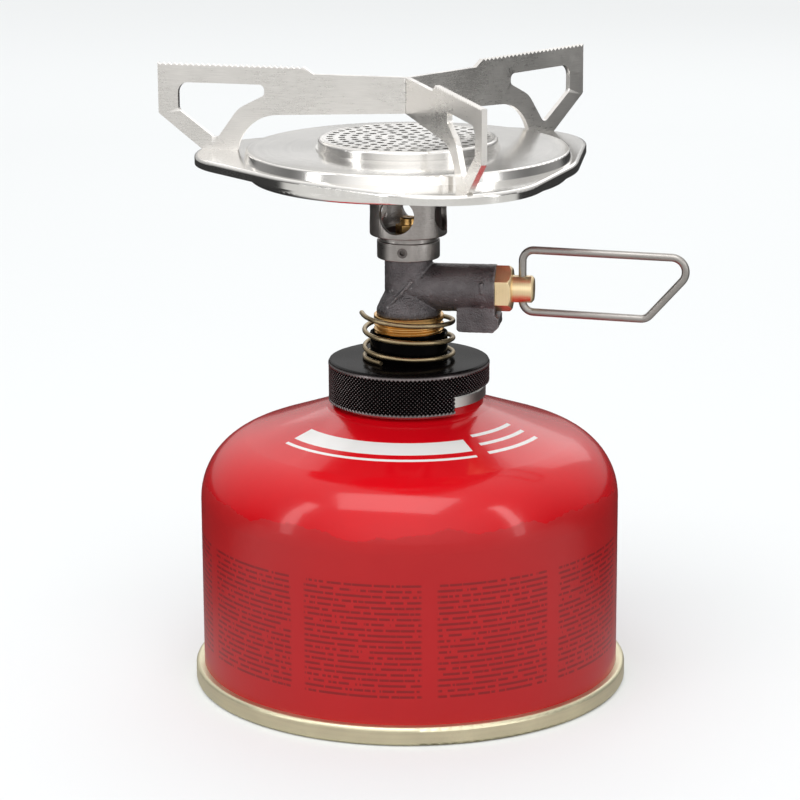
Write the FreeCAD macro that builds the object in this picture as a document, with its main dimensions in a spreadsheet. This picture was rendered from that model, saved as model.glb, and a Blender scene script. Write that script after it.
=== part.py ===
import FreeCAD, Part
import math
import os
import re
import Sketcher

# A screw-on camping stove standing on its gas cartridge. Millimetres, +Z up, with the
# origin at the centre of the cartridge's base. Directions round the axis are degrees
# from +X, anticlockwise from above.

Vector = FreeCAD.Vector
Rotation = FreeCAD.Rotation
Placement = FreeCAD.Placement

doc = FreeCAD.newDocument("CampingStove")
sizes = doc.addObject("Spreadsheet::Sheet", "sizes")

drivingSizes = {
    # gas cartridge
    "canRadius": 43.5,
    "canWall": 0.5,
    "canCornerHeight": 48.9,
    "canCornerRound": 13.8,
    "neckRadius": "rimRadius + 1.1",
    "neckHeight": "canCornerHeight + 9.4",
    "seamRadius": "canRadius + 1.75",
    "seamHeight": 3.85,
    "seamInnerRadius": "canRadius - 1.3",
    "seamFloor": 0.9,
    "seamRound": 0.8,
    "baseEdgeHeight": "seamHeight + 0.75",
    "baseCentreHeight": "baseEdgeHeight + 3.9",
    "baseSheet": 0.6,
    "rimRadius": 15.9,
    "rimInnerRadius": "rimRadius - 3",
    "rimBottom": "neckHeight + 2.5",
    "rimTop": "rimBottom + 2.5",
    "rimSheet": 0.5,
    "cupFloor": "neckHeight - 1.8",
    "bossRadius": 5.5,
    "bossTop": "rimTop + 5.2",
    "bossHole": 2.0,
    "bossLid": 0.8,
    "rimRound": 0.6,
    "cupRound": 0.5,
    "neckCurl": 0.8,
    # cartridge valve
    "gasketThick": 1.0,
    "gasketHole": 1.3,
    "housingRadius": "bossRadius - 1.2",
    "housingWall": 0.9,
    "housingBottom": "cupFloor - 6",
    "housingInlet": 0.8,
    "poppetRadius": "housingRadius - 1.4",
    "poppetThick": 1.6,
    "poppetStem": 1.2,
    "poppetStemLength": 4.5,
    "poppetTravel": 1.2,
    "poppetWire": 0.5,
    "poppetCoilRadius": "poppetRadius - 0.9",
    "poppetCoils": 5,
    # fits
    "slip": 0.05,
    "sink": 0.4,
    "overCut": 0.1,
    # connector
    "connectorRadius": "bossRadius + 1.7",
    "connectorBottom": "rimTop - 1.8",
    "connectorChamfer": 0.8,
    "sealWire": 1.6,
    "sealRadius": "bossRadius - 1.2",
    "gasWay": 2.4,
    "pinRadius": 0.9,
    "pinFlange": 0.7,
    "filterThick": 1.5,
    "spigotRadius": "bodyRadius - 0.9",
    "spigotLength": 1.8,
    # locking collar and spring
    "collarRadius": "rimRadius + 0.8",
    "collarBottom": "rimTop + 0.3",
    "collarTop": "collarBottom + 4.7",
    "collarChamfer": 0.75,
    "skirtBottom": "rimBottom - 1",
    "skirtWall": 0.5,
    "skirtEdge": -55.8,
    "skirtSweep": 150,
    "hubRadius": "connectorRadius + 0.8",
    "hubTop": "collarTop + 6",
    "hubRound": 0.5,
    "springWire": 1.0,
    "springRadius": "hubRadius + 1.2",
    "springFrontHeight": "collarTop + 1.6",
    "springPitch": 3.55,
    "springCoils": 2.25,
    "springDeadCoil": 0.894,
    # valve body
    "barrelAzimuth": -8,
    "bodyBottom": "hubTop + 3.35",
    "flangeRadius": "bodyRadius + 1.7",
    "flangeThick": 1.3,
    "bodyRadius": 4.9,
    "skirtConeTop": "bodyBottom + 4.75",
    "sleeveBottom": "barrelHeight + bodyRadius + 1.3",
    "barrelHeight": "bodyBottom + bodyRadius + 0.85",
    "barrelEnd": 18.2,
    "ribThick": 0.7,
    "ribLean": 48,
    "ribTopRadius": "bodyRadius + 0.4",
    "ribFootRadius": "bodyRadius + 2",
    "ribFoot": "bodyBottom - 0.35",
    "ribTop": "sleeveBottom + 0.3",
    "lugStart": "springRadius + 1.1",
    "lugWidth": 7.0,
    "lugBottom": "bodyBottom - 2.95",
    "lugReach": "barrelEnd + 0.8",
    "lugChamfer": 1.2,
    "lugShoulder": "bodyBottom + 0.65",
    "lugRound": 0.8,
    "lugFoot": 2.88,
    "slabSide": 40,
    "outletWay": 1.3,
    "inletWay": 0.9,
    "inletOffset": "seatRadius + 2.7",
    "seatRadius": 0.9,
    "chamberStart": "seatRadius + 1.6",
    # spindle, gland nut and handle
    "spindleRadius": 2.8,
    "spindleStart": "needleStart + 3.5",
    "needleStart": "chamberStart + 0.4",
    "needleTip": 0.5,
    "spindleEnd": "barrelEnd + 7.7",
    "spindleChamfer": 0.5,
    "grooveCentre": "sealBoreStart + 0.8",
    "grooveWidth": 1.1,
    "grooveDepth": 0.35,
    "spindleSealWire": 0.9,
    "sealBoreStart": "sealBoreEnd - 4.1",
    "sealBoreEnd": "barrelEnd - 2.3",
    "glandSpigotRadius": "spindleRadius + 1",
    "glandFlats": "2 * spindleRadius + 2.9",
    "glandLength": 3.3,
    "glandRound": 0.85,
    "glandTilt": 4,
    "glandSlope": 0.58,
    "glandOverlap": 0.2,
    "handleReach": "barrelEnd + 5.3",
    "handleAzimuth": -14,
    "handleWire": 1.6,
    "handleTop": 8.2,
    "handleDrop": 4.7,
    "handleLength": 37.0,
    "handleTail": "handleLength - 11.4",
    "handleBend": 2.35,
    "handleNoseBend": 2.9,
    "handleGap": 0.6,
    "handleSag": 0.35,
    # jet and intake sleeve
    "sleeveClampRadius": "bodyRadius + 1.55",
    "sleeveClampTop": "sleeveBottom + 3.7",
    "sleeveNeckRadius": "bodyRadius + 1",
    "sleeveShoulder": "sleeveClampTop + 1.15",
    "sleeveRadius": "bodyRadius + 3.03",
    "sleeveInner": "bodyRadius + 2",
    "sleeveFloor": "sleeveShoulder + 0.75",
    "sleeveRound": 0.25,
    "sleeveClampRound": 0.2,
    "airHoleSpacing": 90,
    "bodyTop": "sleeveBottom + 4.4",
    "airHoleHeight": "sleeveFloor + airHoleRadius + 0.3",
    "airHoleRadius": 3.75,
    "airHoleAzimuth": -19.8,
    "grubRadius": 1.05,
    "grubHeight": "sleeveBottom + 1.9",
    "grubAzimuth": -101.5,
    "grubSocket": 1.1,
    "grubSocketDepth": 0.9,
    "grubInset": 0.15,
    "jetStem": 1.9,
    "jetStemLength": 3.0,
    "jetFlats": 4.6,
    "jetHexTop": "bodyTop + 2.4",
    "jetNose": 1.7,
    "jetTop": "jetHexTop + 1.5",
    "jetRound": 0.5,
    "jetOrifice": 0.2,
    "tubeBottom": "airHoleHeight + airHoleRadius + 0.2",
    "tubeInner": "sleeveInner - 1",
    "tubeFlange": "sleeveInner + 1.7",
    "tubeFlangeThick": 0.6,
    # burner
    "bowlRadius": 32.6,
    "bowlBottom": "tubeBottom + 3",
    "bowlSheet": 0.8,
    "bowlRound": 1.1,
    "spreaderRadius": "capRadius - 5.3",
    "spreaderThick": 0.6,
    "spreaderStand": 1.7,
    "spreaderLegRadius": 0.9,
    "spreaderLegCircle": "spreaderRadius - 2.5",
    "capRadius": 18.3,
    "capTop": "plateauTop + 2.15",
    "capRound": 0.7,
    "capRidge": "capRadius + 0.5",
    "capRidgeThick": 0.35,
    "capSpigot": "capRadius - 1",
    "capBore": "capSpigot - 0.7",
    "capFoot": "panTop + 0.3",
    "grilleRadius": "capRadius - 1.2",
    "grilleThick": 0.6,
    "grilleRecess": 0.05,
    "grilleHole": 0.72,
    "grilleOuterRing": "grilleRadius - 1.2",
    "grillePitch": 2.46,
    # drip pan
    "panSheet": 0.8,
    "panTop": "bowlBottom + 4.1",
    "panLip": 2.0,
    "panEdgeRound": 0.7,
    "panRadius": "bowlRadius + 2.2",
    "lobeRadius": 20.0,
    "lobeReach": "panRadius - 10.2",
    "plateauTop": "panTop + 1.9",
    "plateauRadius": "bowlRadius + 0.3",
    "plateauFoot": "plateauRadius + 0.4",
    "plateauRound": 0.4,
    # pot supports
    "armSheet": 1.1,
    "leftArm": 165.5,
    "armSpacing": 120,
    "armReach": "armFootOuter + 9.3",
    "armHeight": 17.7,
    "armTop": "panTop + armHeight",
    "armShoulder": "armTop - 10.5",
    "armInnerTop": "armTop - 1.5",
    "armStepInner": 19.7,
    "armStepOuter": "armStepInner + 1.9",
    "armFootInner": "panRadius + 1.4",
    "armFootOuter": "armFootInner + 7.6",
    "armCentreBottom": "armTop - 8.8",
    "armElbow": "armFootInner - 1.4",
    "armElbowHeight": "armTop - 10.4",
    "armElbowRound": 9.2,
    "armBend": 1.0,
    "toothPitch": 1.2,
    "toothDepth": 0.5,
    "tabInner": "armFootInner + 2",
    "tabOuter": "tabInner + 3.6",
    "tabDepth": 1.4,
    "armTipRound": 0.8,
    "stripMargin": 5,
    "stripReach": 2,
    "windowOuter": "armReach - 4.3",
    "windowInner": "armElbow - 4.6",
    "windowTop": "armTop - 3.95",
    "windowNoseHeight": "armTop - 6.1",
    "windowKnee": "armElbow + 1.1",
    "windowKneeHeight": "armTop - 9",
    "windowFoot": "armFootInner + 4.5",
    "windowFootHeight": "panTop + 2.1",
    "windowSideHeight": "armTop - 9.6",
    "windowTopRound": 2.2,
    "windowInnerRound": 1.15,
    "windowNoseRound": 0.9,
    "windowKneeRound": 6,
    "windowFootRound": 1.3,
    "windowSideRound": 1.2,
}

# Every name is given before any formula that may use it.
for row, alias in enumerate(drivingSizes, start=1):
    sizes.set("A%d" % row, alias)
    sizes.setAlias("B%d" % row, alias)
for row, amount in enumerate(drivingSizes.values(), start=1):
    sizes.set("B%d" % row, "=%s" % amount)
doc.recompute()


# ---- small helpers -------------------------------------------------------------------

def bound(formula):
    # Writes each size's name in a formula the way an expression reads it.
    def inSheet(match):
        word = match.group(0)
        return "sizes." + word if word in drivingSizes else word
    return re.sub(r"[A-Za-z]+", inSheet, str(formula))


def number(formula):
    return float(sizes.evalExpression(bound(formula)))


def bind(thing, prop, formula):
    thing.setExpression(prop, bound(formula))


def newBody(label):
    body = doc.addObject("PartDesign::Body", label)
    body.Label = label
    return body


def newSketch(body, name, plane="XZ_Plane"):
    sketch = body.newObject("Sketcher::SketchObject", name)
    origin = [item for item in body.Origin.OriginFeatures if item.Role == plane][0]
    sketch.AttachmentSupport = [(origin, "")]
    sketch.MapMode = "FlatFace"
    return sketch


def pinPoint(sketch, piece, end, x, y):
    # Holds one point of a sketch at two formulas measured from its origin.
    for kind, formula in (("DistanceX", x), ("DistanceY", y)):
        rule = sketch.addConstraint(Sketcher.Constraint(kind, -1, 1, piece, end, number(formula)))
        bind(sketch, "Constraints[%d]" % rule, formula)


def setRadius(sketch, piece, formula):
    rule = sketch.addConstraint(Sketcher.Constraint("Radius", piece, number(formula)))
    bind(sketch, "Constraints[%d]" % rule, formula)


def roundedCorner(before, corner, after, radius):
    # Where an arc of this radius leaves and joins the two sides of a corner, with its centre.
    towardsBefore = (before - corner).normalize()
    towardsAfter = (after - corner).normalize()
    half = towardsBefore.getAngle(towardsAfter) / 2
    middle = (towardsBefore + towardsAfter).normalize()
    start = corner + towardsBefore * (radius / math.tan(half))
    finish = corner + towardsAfter * (radius / math.tan(half))
    return start, finish, corner + middle * (radius / math.sin(half))


def drawOutline(sketch, corners, closed=True):
    # Straight sides between corners (x, y) or (x, y, radius), each written as a formula.
    points = [Vector(number(corner[0]), number(corner[1]), 0) for corner in corners]
    count = len(corners)
    arrive = list(points)
    leave = list(points)
    centres = [None] * count
    for i, corner in enumerate(corners):
        if len(corner) == 3:
            before = points[i - 1]
            after = points[(i + 1) % count]
            arrive[i], leave[i], centres[i] = roundedCorner(before, points[i], after, number(corner[2]))
    sides = []
    for i in range(count if closed else count - 1):
        sides.append(sketch.addGeometry(Part.LineSegment(leave[i], arrive[(i + 1) % count]), False))
    for i, corner in enumerate(corners):
        if not closed and i == 0:
            pinPoint(sketch, sides[0], 1, corner[0], corner[1])
        elif not closed and i == count - 1:
            pinPoint(sketch, sides[-1], 2, corner[0], corner[1])
        elif centres[i] is None:
            sketch.addConstraint(Sketcher.Constraint("Coincident", sides[i - 1], 2, sides[i], 1))
            pinPoint(sketch, sides[i], 1, corner[0], corner[1])
        else:
            roundCorner(sketch, sides[i - 1], sides[i], corner, arrive[i], leave[i], centres[i])


def roundCorner(sketch, sideIn, sideOut, corner, arrive, leave, centre):
    spoke = arrive - centre
    turn = (spoke.cross(leave - centre)).z
    first, last = (arrive, leave) if turn > 0 else (leave, arrive)
    firstAngle = math.atan2(first.y - centre.y, first.x - centre.x)
    lastAngle = math.atan2(last.y - centre.y, last.x - centre.x)
    circle = Part.Circle(centre, Vector(0, 0, 1), spoke.Length)
    arc = sketch.addGeometry(Part.ArcOfCircle(circle, firstAngle, lastAngle), False)
    endIn, endOut = (1, 2) if turn > 0 else (2, 1)
    tip = sketch.addGeometry(Part.Point(Vector(number(corner[0]), number(corner[1]), 0)), True)
    pinPoint(sketch, tip, 1, corner[0], corner[1])
    sketch.addConstraint(Sketcher.Constraint("PointOnObject", tip, 1, sideIn))
    sketch.addConstraint(Sketcher.Constraint("PointOnObject", tip, 1, sideOut))
    sketch.addConstraint(Sketcher.Constraint("Tangent", sideIn, 2, arc, endIn))
    sketch.addConstraint(Sketcher.Constraint("Tangent", arc, endOut, sideOut, 1))
    setRadius(sketch, arc, corner[2])


def drawCircle(sketch, x, y, radius):
    centre = Vector(number(x), number(y), 0)
    circle = sketch.addGeometry(Part.Circle(centre, Vector(0, 0, 1), number(radius)), False)
    pinPoint(sketch, circle, 3, x, y)
    setRadius(sketch, circle, radius)
    return circle


def drawHexagon(sketch, flats):
    # A hexagon about the sketch's origin, one flat facing along its second axis.
    corners = []
    for turn in range(6):
        spoke = "(%s) / sqrt(3)" % flats
        corners.append(("%s * cos(%d deg)" % (spoke, 60 * turn), "%s * sin(%d deg)" % (spoke, 60 * turn)))
    drawOutline(sketch, corners)


def revolve(body, name, corners, kind="PartDesign::Revolution", axis="V_Axis"):
    sketch = newSketch(body, name + "Outline")
    drawOutline(sketch, corners)
    turned = body.newObject(kind, name)
    turned.Profile = (sketch, [""])
    turned.ReferenceAxis = (sketch, [axis])
    turned.Angle = 360
    return turned


def turnedBody(label, corners, axis="V_Axis"):
    body = newBody(label)
    revolve(body, label + "Turning", corners, axis=axis)
    return body


def pad(body, sketch, name, length, midplane=False, backwards=False):
    feature = body.newObject("PartDesign::Pad", name)
    feature.Profile = (sketch, [""])
    feature.Midplane = midplane
    feature.Reversed = backwards
    bind(feature, "Length", length)
    return feature


def pocket(body, sketch, name, depth, midplane=False, backwards=False):
    feature = body.newObject("PartDesign::Pocket", name)
    feature.Profile = (sketch, [""])
    feature.Midplane = midplane
    feature.Reversed = backwards
    bind(feature, "Length", depth)
    return feature


def raiseSketch(sketch, height):
    bind(sketch, "AttachmentOffset.Base.z", height)


def turnSketch(sketch, azimuth):
    # Swings an upright sketch about the vertical axis.
    sketch.AttachmentOffset = Placement(Vector(), Rotation(Vector(0, 1, 0), number(azimuth)))
    bind(sketch, "AttachmentOffset.Rotation.Angle", "(%s) * 1 deg" % azimuth)


def polar(body, feature, axisSketch, name, count, sweep=360):
    pattern = body.newObject("PartDesign::PolarPattern", name)
    pattern.Originals = [feature]
    pattern.Axis = (axisSketch, ["N_Axis"])
    pattern.Angle = sweep
    pattern.Occurrences = count
    body.Tip = pattern
    return pattern


def turnAbout(thing, azimuth):
    # Turns a finished piece about the stove's axis.
    thing.Placement = Placement(Vector(), Rotation(Vector(0, 0, 1), number(azimuth)))
    bind(thing, "Placement.Rotation.Angle", "(%s) * 1 deg" % azimuth)


def cylinder(name, radius, length, x="0", y="0", z="0", along="z"):
    rod = doc.addObject("Part::Cylinder", name)
    if along == "x":
        rod.Placement = Placement(Vector(), Rotation(Vector(0, 1, 0), 90))
    bind(rod, "Radius", radius)
    bind(rod, "Height", length)
    bind(rod, "Placement.Base.x", x)
    bind(rod, "Placement.Base.y", y)
    bind(rod, "Placement.Base.z", z)
    return rod


def cone(name, footRadius, topRadius, length, z):
    taper = doc.addObject("Part::Cone", name)
    bind(taper, "Radius1", footRadius)
    bind(taper, "Radius2", topRadius)
    bind(taper, "Height", length)
    bind(taper, "Placement.Base.z", z)
    return taper


def fuse(name, pieces):
    joined = doc.addObject("Part::MultiFuse", name)
    joined.Shapes = pieces
    joined.Refine = True
    return joined


def cut(name, base, tool):
    result = doc.addObject("Part::Cut", name)
    result.Base = base
    result.Tool = tool
    result.Refine = True
    return result


def common(name, base, tool):
    result = doc.addObject("Part::Common", name)
    result.Base = base
    result.Tool = tool
    return result


# ---- gas cartridge -------------------------------------------------------------------

def canShell():
    # Red body: straight wall, domed shoulder and the curl that the valve cup is crimped on.
    inside = "canRadius - canWall"
    curlOut = "rimRadius - rimSheet"
    curlIn = "rimInnerRadius + rimSheet"
    return turnedBody("can_shell", [
        ("canRadius", "seamFloor"),
        ("canRadius", "canCornerHeight", "canCornerRound"),
        ("neckRadius", "neckHeight"),
        (curlOut, "neckHeight + neckCurl"),
        (curlOut, "rimTop - rimSheet"),
        (curlIn, "rimTop - rimSheet"),
        (curlIn, "neckHeight - canWall"),
        ("neckRadius", "neckHeight - canWall"),
        (inside, "canCornerHeight - canWall", "canCornerRound - canWall"),
        (inside, "seamFloor"),
    ])


def canBase():
    # Rolled seam round the foot of the wall, with the inward dome of the base.
    inside = "canRadius - canWall"
    return turnedBody("can_base", [
        ("0", "baseCentreHeight"),
        ("0", "baseCentreHeight + baseSheet"),
        (inside, "baseEdgeHeight + baseSheet"),
        (inside, "seamFloor"),
        ("canRadius", "seamFloor"),
        ("canRadius", "seamHeight"),
        ("seamRadius", "seamHeight", "seamRound"),
        ("seamRadius", "0", "seamRound"),
        ("seamInnerRadius", "0", "seamRound"),
        ("seamInnerRadius", "baseEdgeHeight"),
    ])


def valveCup():
    # Pressed cup: crimped rim, well and the male threaded boss.
    lidUnderside = "bossTop - bossLid"
    wellOutside = "rimInnerRadius + rimSheet"
    return turnedBody("valve_cup", [
        ("rimRadius", "rimBottom"),
        ("rimRadius", "rimTop", "rimRound"),
        ("rimInnerRadius", "rimTop", "rimRound"),
        ("rimInnerRadius", "cupFloor", "cupRound"),
        ("bossRadius", "cupFloor"),
        ("bossRadius", "bossTop"),
        ("bossHole", "bossTop"),
        ("bossHole", lidUnderside),
        ("housingRadius", lidUnderside),
        ("housingRadius", "cupFloor - rimSheet"),
        (wellOutside, "cupFloor - rimSheet", "cupRound + rimSheet"),
        (wellOutside, "rimTop - rimSheet"),
        ("rimRadius - rimSheet", "rimTop - rimSheet"),
        ("rimRadius - rimSheet", "rimBottom"),
    ])


gasketUnderside = "bossTop - bossLid - gasketThick"


def valveGasket():
    return turnedBody("valve_gasket", [
        ("gasketHole", gasketUnderside),
        ("housingRadius", gasketUnderside),
        ("housingRadius", "bossTop - bossLid"),
        ("gasketHole", "bossTop - bossLid"),
    ])


def valveHousing():
    inside = "housingRadius - housingWall"
    return turnedBody("valve_housing", [
        ("housingInlet", "housingBottom"),
        ("housingRadius", "housingBottom"),
        ("housingRadius", gasketUnderside),
        (inside, gasketUnderside),
        (inside, "housingBottom + housingWall"),
        ("housingInlet", "housingBottom + housingWall"),
    ])


poppetTop = gasketUnderside + " - poppetTravel - slip"


def valvePoppet():
    # Held off its gasket by the stove's pin.
    return turnedBody("valve_poppet", [
        ("0", "%s - poppetThick - poppetStemLength" % poppetTop),
        ("poppetStem", "%s - poppetThick - poppetStemLength" % poppetTop),
        ("poppetStem", "%s - poppetThick" % poppetTop),
        ("poppetRadius", "%s - poppetThick" % poppetTop),
        ("poppetRadius", poppetTop),
        ("0", poppetTop),
    ])


def coil(body, name, sketch, height, turns, downwards=False, leftHanded=False):
    helix = body.newObject("PartDesign::AdditiveHelix", name)
    helix.Profile = (sketch, [""])
    helix.ReferenceAxis = (sketch, ["V_Axis"])
    helix.Mode = "height-turns-angle"
    helix.LeftHanded = leftHanded
    helix.Reversed = downwards
    bind(helix, "Height", height)
    bind(helix, "Turns", turns)
    return helix


def poppetSpring():
    body = newBody("poppet_spring")
    foot = "housingBottom + housingWall + poppetWire / 2"
    top = "%s - poppetThick - poppetWire / 2" % poppetTop
    sketch = newSketch(body, "poppetSpringWire")
    drawCircle(sketch, "poppetCoilRadius", foot, "poppetWire / 2")
    coil(body, "poppetSpringCoil", sketch, "(%s) - (%s)" % (top, foot), "poppetCoils")
    return body


# ---- connector -----------------------------------------------------------------------

boreTop = "bossTop + sealWire + 2 * slip"


def brassConnector():
    # Female boss for the cartridge, threaded outside for the locking collar.
    bore = "bossRadius + slip"
    return turnedBody("brass_connector", [
        ("connectorRadius - connectorChamfer", "connectorBottom"),
        ("connectorRadius", "connectorBottom + connectorChamfer"),
        ("connectorRadius", "bodyBottom"),
        ("spigotRadius", "bodyBottom"),
        ("spigotRadius", "bodyBottom + spigotLength"),
        ("gasWay", "bodyBottom + spigotLength"),
        ("gasWay", boreTop),
        (bore, boreTop),
        (bore, "connectorBottom"),
    ])


def connectorSeal():
    ring = doc.addObject("Part::Torus", "connector_o_ring")
    bind(ring, "Radius1", "sealRadius")
    bind(ring, "Radius2", "sealWire / 2")
    bind(ring, "Placement.Base.z", "bossTop + slip + sealWire / 2")
    return ring


def actuatorPin():
    # Pin that holds the poppet down, on a flange pressed into the gas way.
    return turnedBody("actuator_pin", [
        ("0", "%s + slip" % poppetTop),
        ("pinRadius", "%s + slip" % poppetTop),
        ("pinRadius", boreTop + " + sink"),
        ("gasWay", boreTop + " + sink"),
        ("gasWay", boreTop + " + sink + pinFlange"),
        ("0", boreTop + " + sink + pinFlange"),
    ])


def fuelFilter():
    return cylinder("fuel_filter", "gasWay", "filterThick", z=boreTop + " + sink + pinFlange")


# ---- locking collar ------------------------------------------------------------------

def lockingCollar():
    # Knurled disc with a hub, and a skirt over part of the cartridge's rim.
    bore = "connectorRadius + slip"
    body = turnedBody("locking_collar", [
        (bore, "collarBottom"),
        ("collarRadius", "collarBottom"),
        ("collarRadius", "collarTop - collarChamfer"),
        ("collarRadius - collarChamfer", "collarTop"),
        ("hubRadius", "collarTop"),
        ("hubRadius", "hubTop", "hubRound"),
        (bore, "hubTop"),
    ])
    sketch = newSketch(body, "skirtOutline")
    turnSketch(sketch, "skirtEdge - skirtSweep")
    drawOutline(sketch, [
        ("collarRadius - skirtWall", "skirtBottom"),
        ("collarRadius", "skirtBottom"),
        ("collarRadius", "collarBottom + sink"),
        ("collarRadius - skirtWall", "collarBottom + sink"),
    ])
    skirt = body.newObject("PartDesign::Revolution", "skirt")
    skirt.Profile = (sketch, [""])
    skirt.ReferenceAxis = (sketch, ["V_Axis"])
    bind(skirt, "Angle", "skirtSweep * 1 deg")
    return body


def collarSpring():
    # Open coils above, and a dead coil that lies on the collar.
    body = newBody("collar_spring")
    sketch = newSketch(body, "springWireOutline", "YZ_Plane")
    drawCircle(sketch, "-springRadius", "springFrontHeight", "springWire / 2")
    seat = "springFrontHeight - collarTop - springWire / 2"
    coil(body, "openCoils", sketch, "springPitch * springCoils", "springCoils", leftHanded=True)
    coil(body, "deadCoil", sketch, seat, "springDeadCoil", downwards=True, leftHanded=True)
    return body


# ---- valve body ----------------------------------------------------------------------

def valveBody():
    # Cast elbow: upright tube, barrel to one side, sloping rib between, lug below.
    tube = cylinder("uprightTube", "bodyRadius", "bodyTop - bodyBottom", z="bodyBottom")
    flange = cylinder("bottomFlange", "flangeRadius", "flangeThick", z="bodyBottom")
    skirtCone = cone("flangeCone", "flangeRadius", "bodyRadius",
                     "skirtConeTop - bodyBottom - flangeThick", "bodyBottom + flangeThick")
    barrel = cylinder("barrel", "bodyRadius", "barrelEnd", z="barrelHeight", along="x")
    outer = fuse("bodyOutside", [tube, flange, skirtCone, barrel, slopingRib(), bodyLug()])
    hollow = fuse("bodyWays", bodyWays())
    body = cut("valve_body", outer, hollow)
    turnAbout(body, "barrelAzimuth")
    return body


def slopingRib():
    slab = doc.addObject("Part::Box", "ribSlab")
    slab.Placement = Placement(Vector(), Rotation(Vector(0, 1, 0), -number("ribLean")))
    bind(slab, "Length", "slabSide")
    bind(slab, "Width", "slabSide")
    bind(slab, "Height", "ribThick")
    bind(slab, "Placement.Rotation.Angle", "ribLean * 1 deg")
    bind(slab, "Placement.Base.x", "-slabSide / 2 * cos(ribLean * 1 deg)")
    bind(slab, "Placement.Base.y", "-slabSide / 2")
    bind(slab, "Placement.Base.z", "barrelHeight - slabSide / 2 * sin(ribLean * 1 deg)")
    envelope = cone("ribEnvelope", "ribFootRadius", "ribTopRadius", "ribTop - ribFoot", "ribFoot")
    rib = common("ribBlank", slab, envelope)
    above = cylinder("ribTrim", "ribFootRadius", "ribTop - bodyBottom", z="bodyBottom")
    return common("slopingRib", rib, above)


def bodyLug():
    body = newBody("bodyLug")
    sketch = newSketch(body, "lugOutline")
    drawOutline(sketch, [
        ("lugStart", "barrelHeight"),
        ("lugStart", "lugBottom", "lugRound"),
        ("lugReach - lugChamfer", "lugBottom"),
        ("lugReach", "lugBottom + lugChamfer"),
        ("lugReach", "lugBottom + lugFoot"),
        ("barrelEnd", "lugShoulder"),
        ("barrelEnd", "barrelHeight"),
    ])
    pad(body, sketch, "lugBlock", "lugWidth", midplane=True)
    return body


def bodyWays():
    return [
        cylinder("spigotSocket", "spigotRadius", "spigotLength", z="bodyBottom"),
        cylinder("inletWay", "inletWay", "barrelHeight - bodyBottom - spigotLength",
                 x="inletOffset - gasWay / 2", z="bodyBottom + spigotLength"),
        cylinder("valveChamber", "spindleRadius + slip", "barrelEnd - chamberStart",
                 x="chamberStart", z="barrelHeight", along="x"),
        cylinder("sealBore", "spindleRadius - grooveDepth + spindleSealWire + 2 * slip",
                 "sealBoreEnd - sealBoreStart", x="sealBoreStart", z="barrelHeight", along="x"),
        cylinder("glandSocket", "glandSpigotRadius", "barrelEnd - sealBoreEnd",
                 x="sealBoreEnd", z="barrelHeight", along="x"),
        cylinder("seatWay", "seatRadius", "chamberStart", z="barrelHeight", along="x"),
        cylinder("outletWay", "outletWay", "bodyTop - barrelHeight", z="barrelHeight"),
        cylinder("jetSocket", "jetStem", "jetStemLength", z="bodyTop - jetStemLength"),
    ]


def spindle():
    # Needle, seal groove and the knob end that the handle passes through.
    body = turnedBody("spindle", [
        ("needleStart", "0"),
        ("needleStart", "needleTip"),
        ("spindleStart", "spindleRadius"),
        ("grooveCentre - grooveWidth / 2", "spindleRadius"),
        ("grooveCentre - grooveWidth / 2", "spindleRadius - grooveDepth"),
        ("grooveCentre + grooveWidth / 2", "spindleRadius - grooveDepth"),
        ("grooveCentre + grooveWidth / 2", "spindleRadius"),
        ("spindleEnd - spindleChamfer", "spindleRadius"),
        ("spindleEnd", "spindleRadius - spindleChamfer"),
        ("spindleEnd", "0"),
    ], axis="H_Axis")
    sketch = newSketch(body, "crossHoleOutline", "XY_Plane")
    drawCircle(sketch, "handleReach", "0", "handleWire / 2 + slip")
    pocket(body, sketch, "crossHole", "3 * spindleRadius", midplane=True)
    turnAbout(body, "barrelAzimuth")
    bind(body, "Placement.Base.z", "barrelHeight")
    return body


def spindleSeal():
    ring = doc.addObject("Part::Torus", "spindle_o_ring")
    bind(ring, "Radius1", "spindleRadius - grooveDepth + slip + spindleSealWire / 2")
    bind(ring, "Radius2", "spindleSealWire / 2")
    return alongBarrel(ring, "grooveCentre")


def alongBarrel(piece, reach, twist="0"):
    # Points a piece made along +Z down the barrel, at a distance from the stove's axis.
    pointing = Rotation(number("barrelAzimuth"), 90, 0)
    twisting = Rotation(Vector(0, 0, 1), number(twist))
    piece.Placement = Placement(Vector(), pointing.multiply(twisting))
    bind(piece, "Placement.Base.x", "(%s) * cos(barrelAzimuth * 1 deg)" % reach)
    bind(piece, "Placement.Base.y", "(%s) * sin(barrelAzimuth * 1 deg)" % reach)
    bind(piece, "Placement.Base.z", "barrelHeight")
    return piece


def glandNut():
    # Hexagon outside, spigot inside the barrel, bored for the spindle.
    body = newBody("gland_nut")
    sketch = newSketch(body, "hexOutline", "XY_Plane")
    drawHexagon(sketch, "glandFlats")
    pad(body, sketch, "hexBlock", "glandLength")
    corner = "glandFlats / sqrt(3)"
    revolve(body, "cornerRound", [
        ("%s - glandRound" % corner, "glandLength + overCut"),
        ("%s + glandRound" % corner, "glandLength + overCut"),
        ("%s + glandRound" % corner, "glandLength - glandRound - glandSlope"),
    ], kind="PartDesign::Groove")
    revolve(body, "glandSpigot", [
        ("spindleRadius + slip", "sealBoreEnd - barrelEnd"),
        ("glandSpigotRadius", "sealBoreEnd - barrelEnd"),
        ("glandSpigotRadius", "glandOverlap"),
        ("spindleRadius + slip", "glandOverlap"),
    ])
    revolve(body, "glandBore", [
        ("0", "sealBoreEnd - barrelEnd - overCut"),
        ("spindleRadius + slip", "sealBoreEnd - barrelEnd - overCut"),
        ("spindleRadius + slip", "glandLength + overCut"),
        ("0", "glandLength + overCut"),
    ], kind="PartDesign::Groove")
    return alongBarrel(body, "barrelEnd", "glandTilt")


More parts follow.
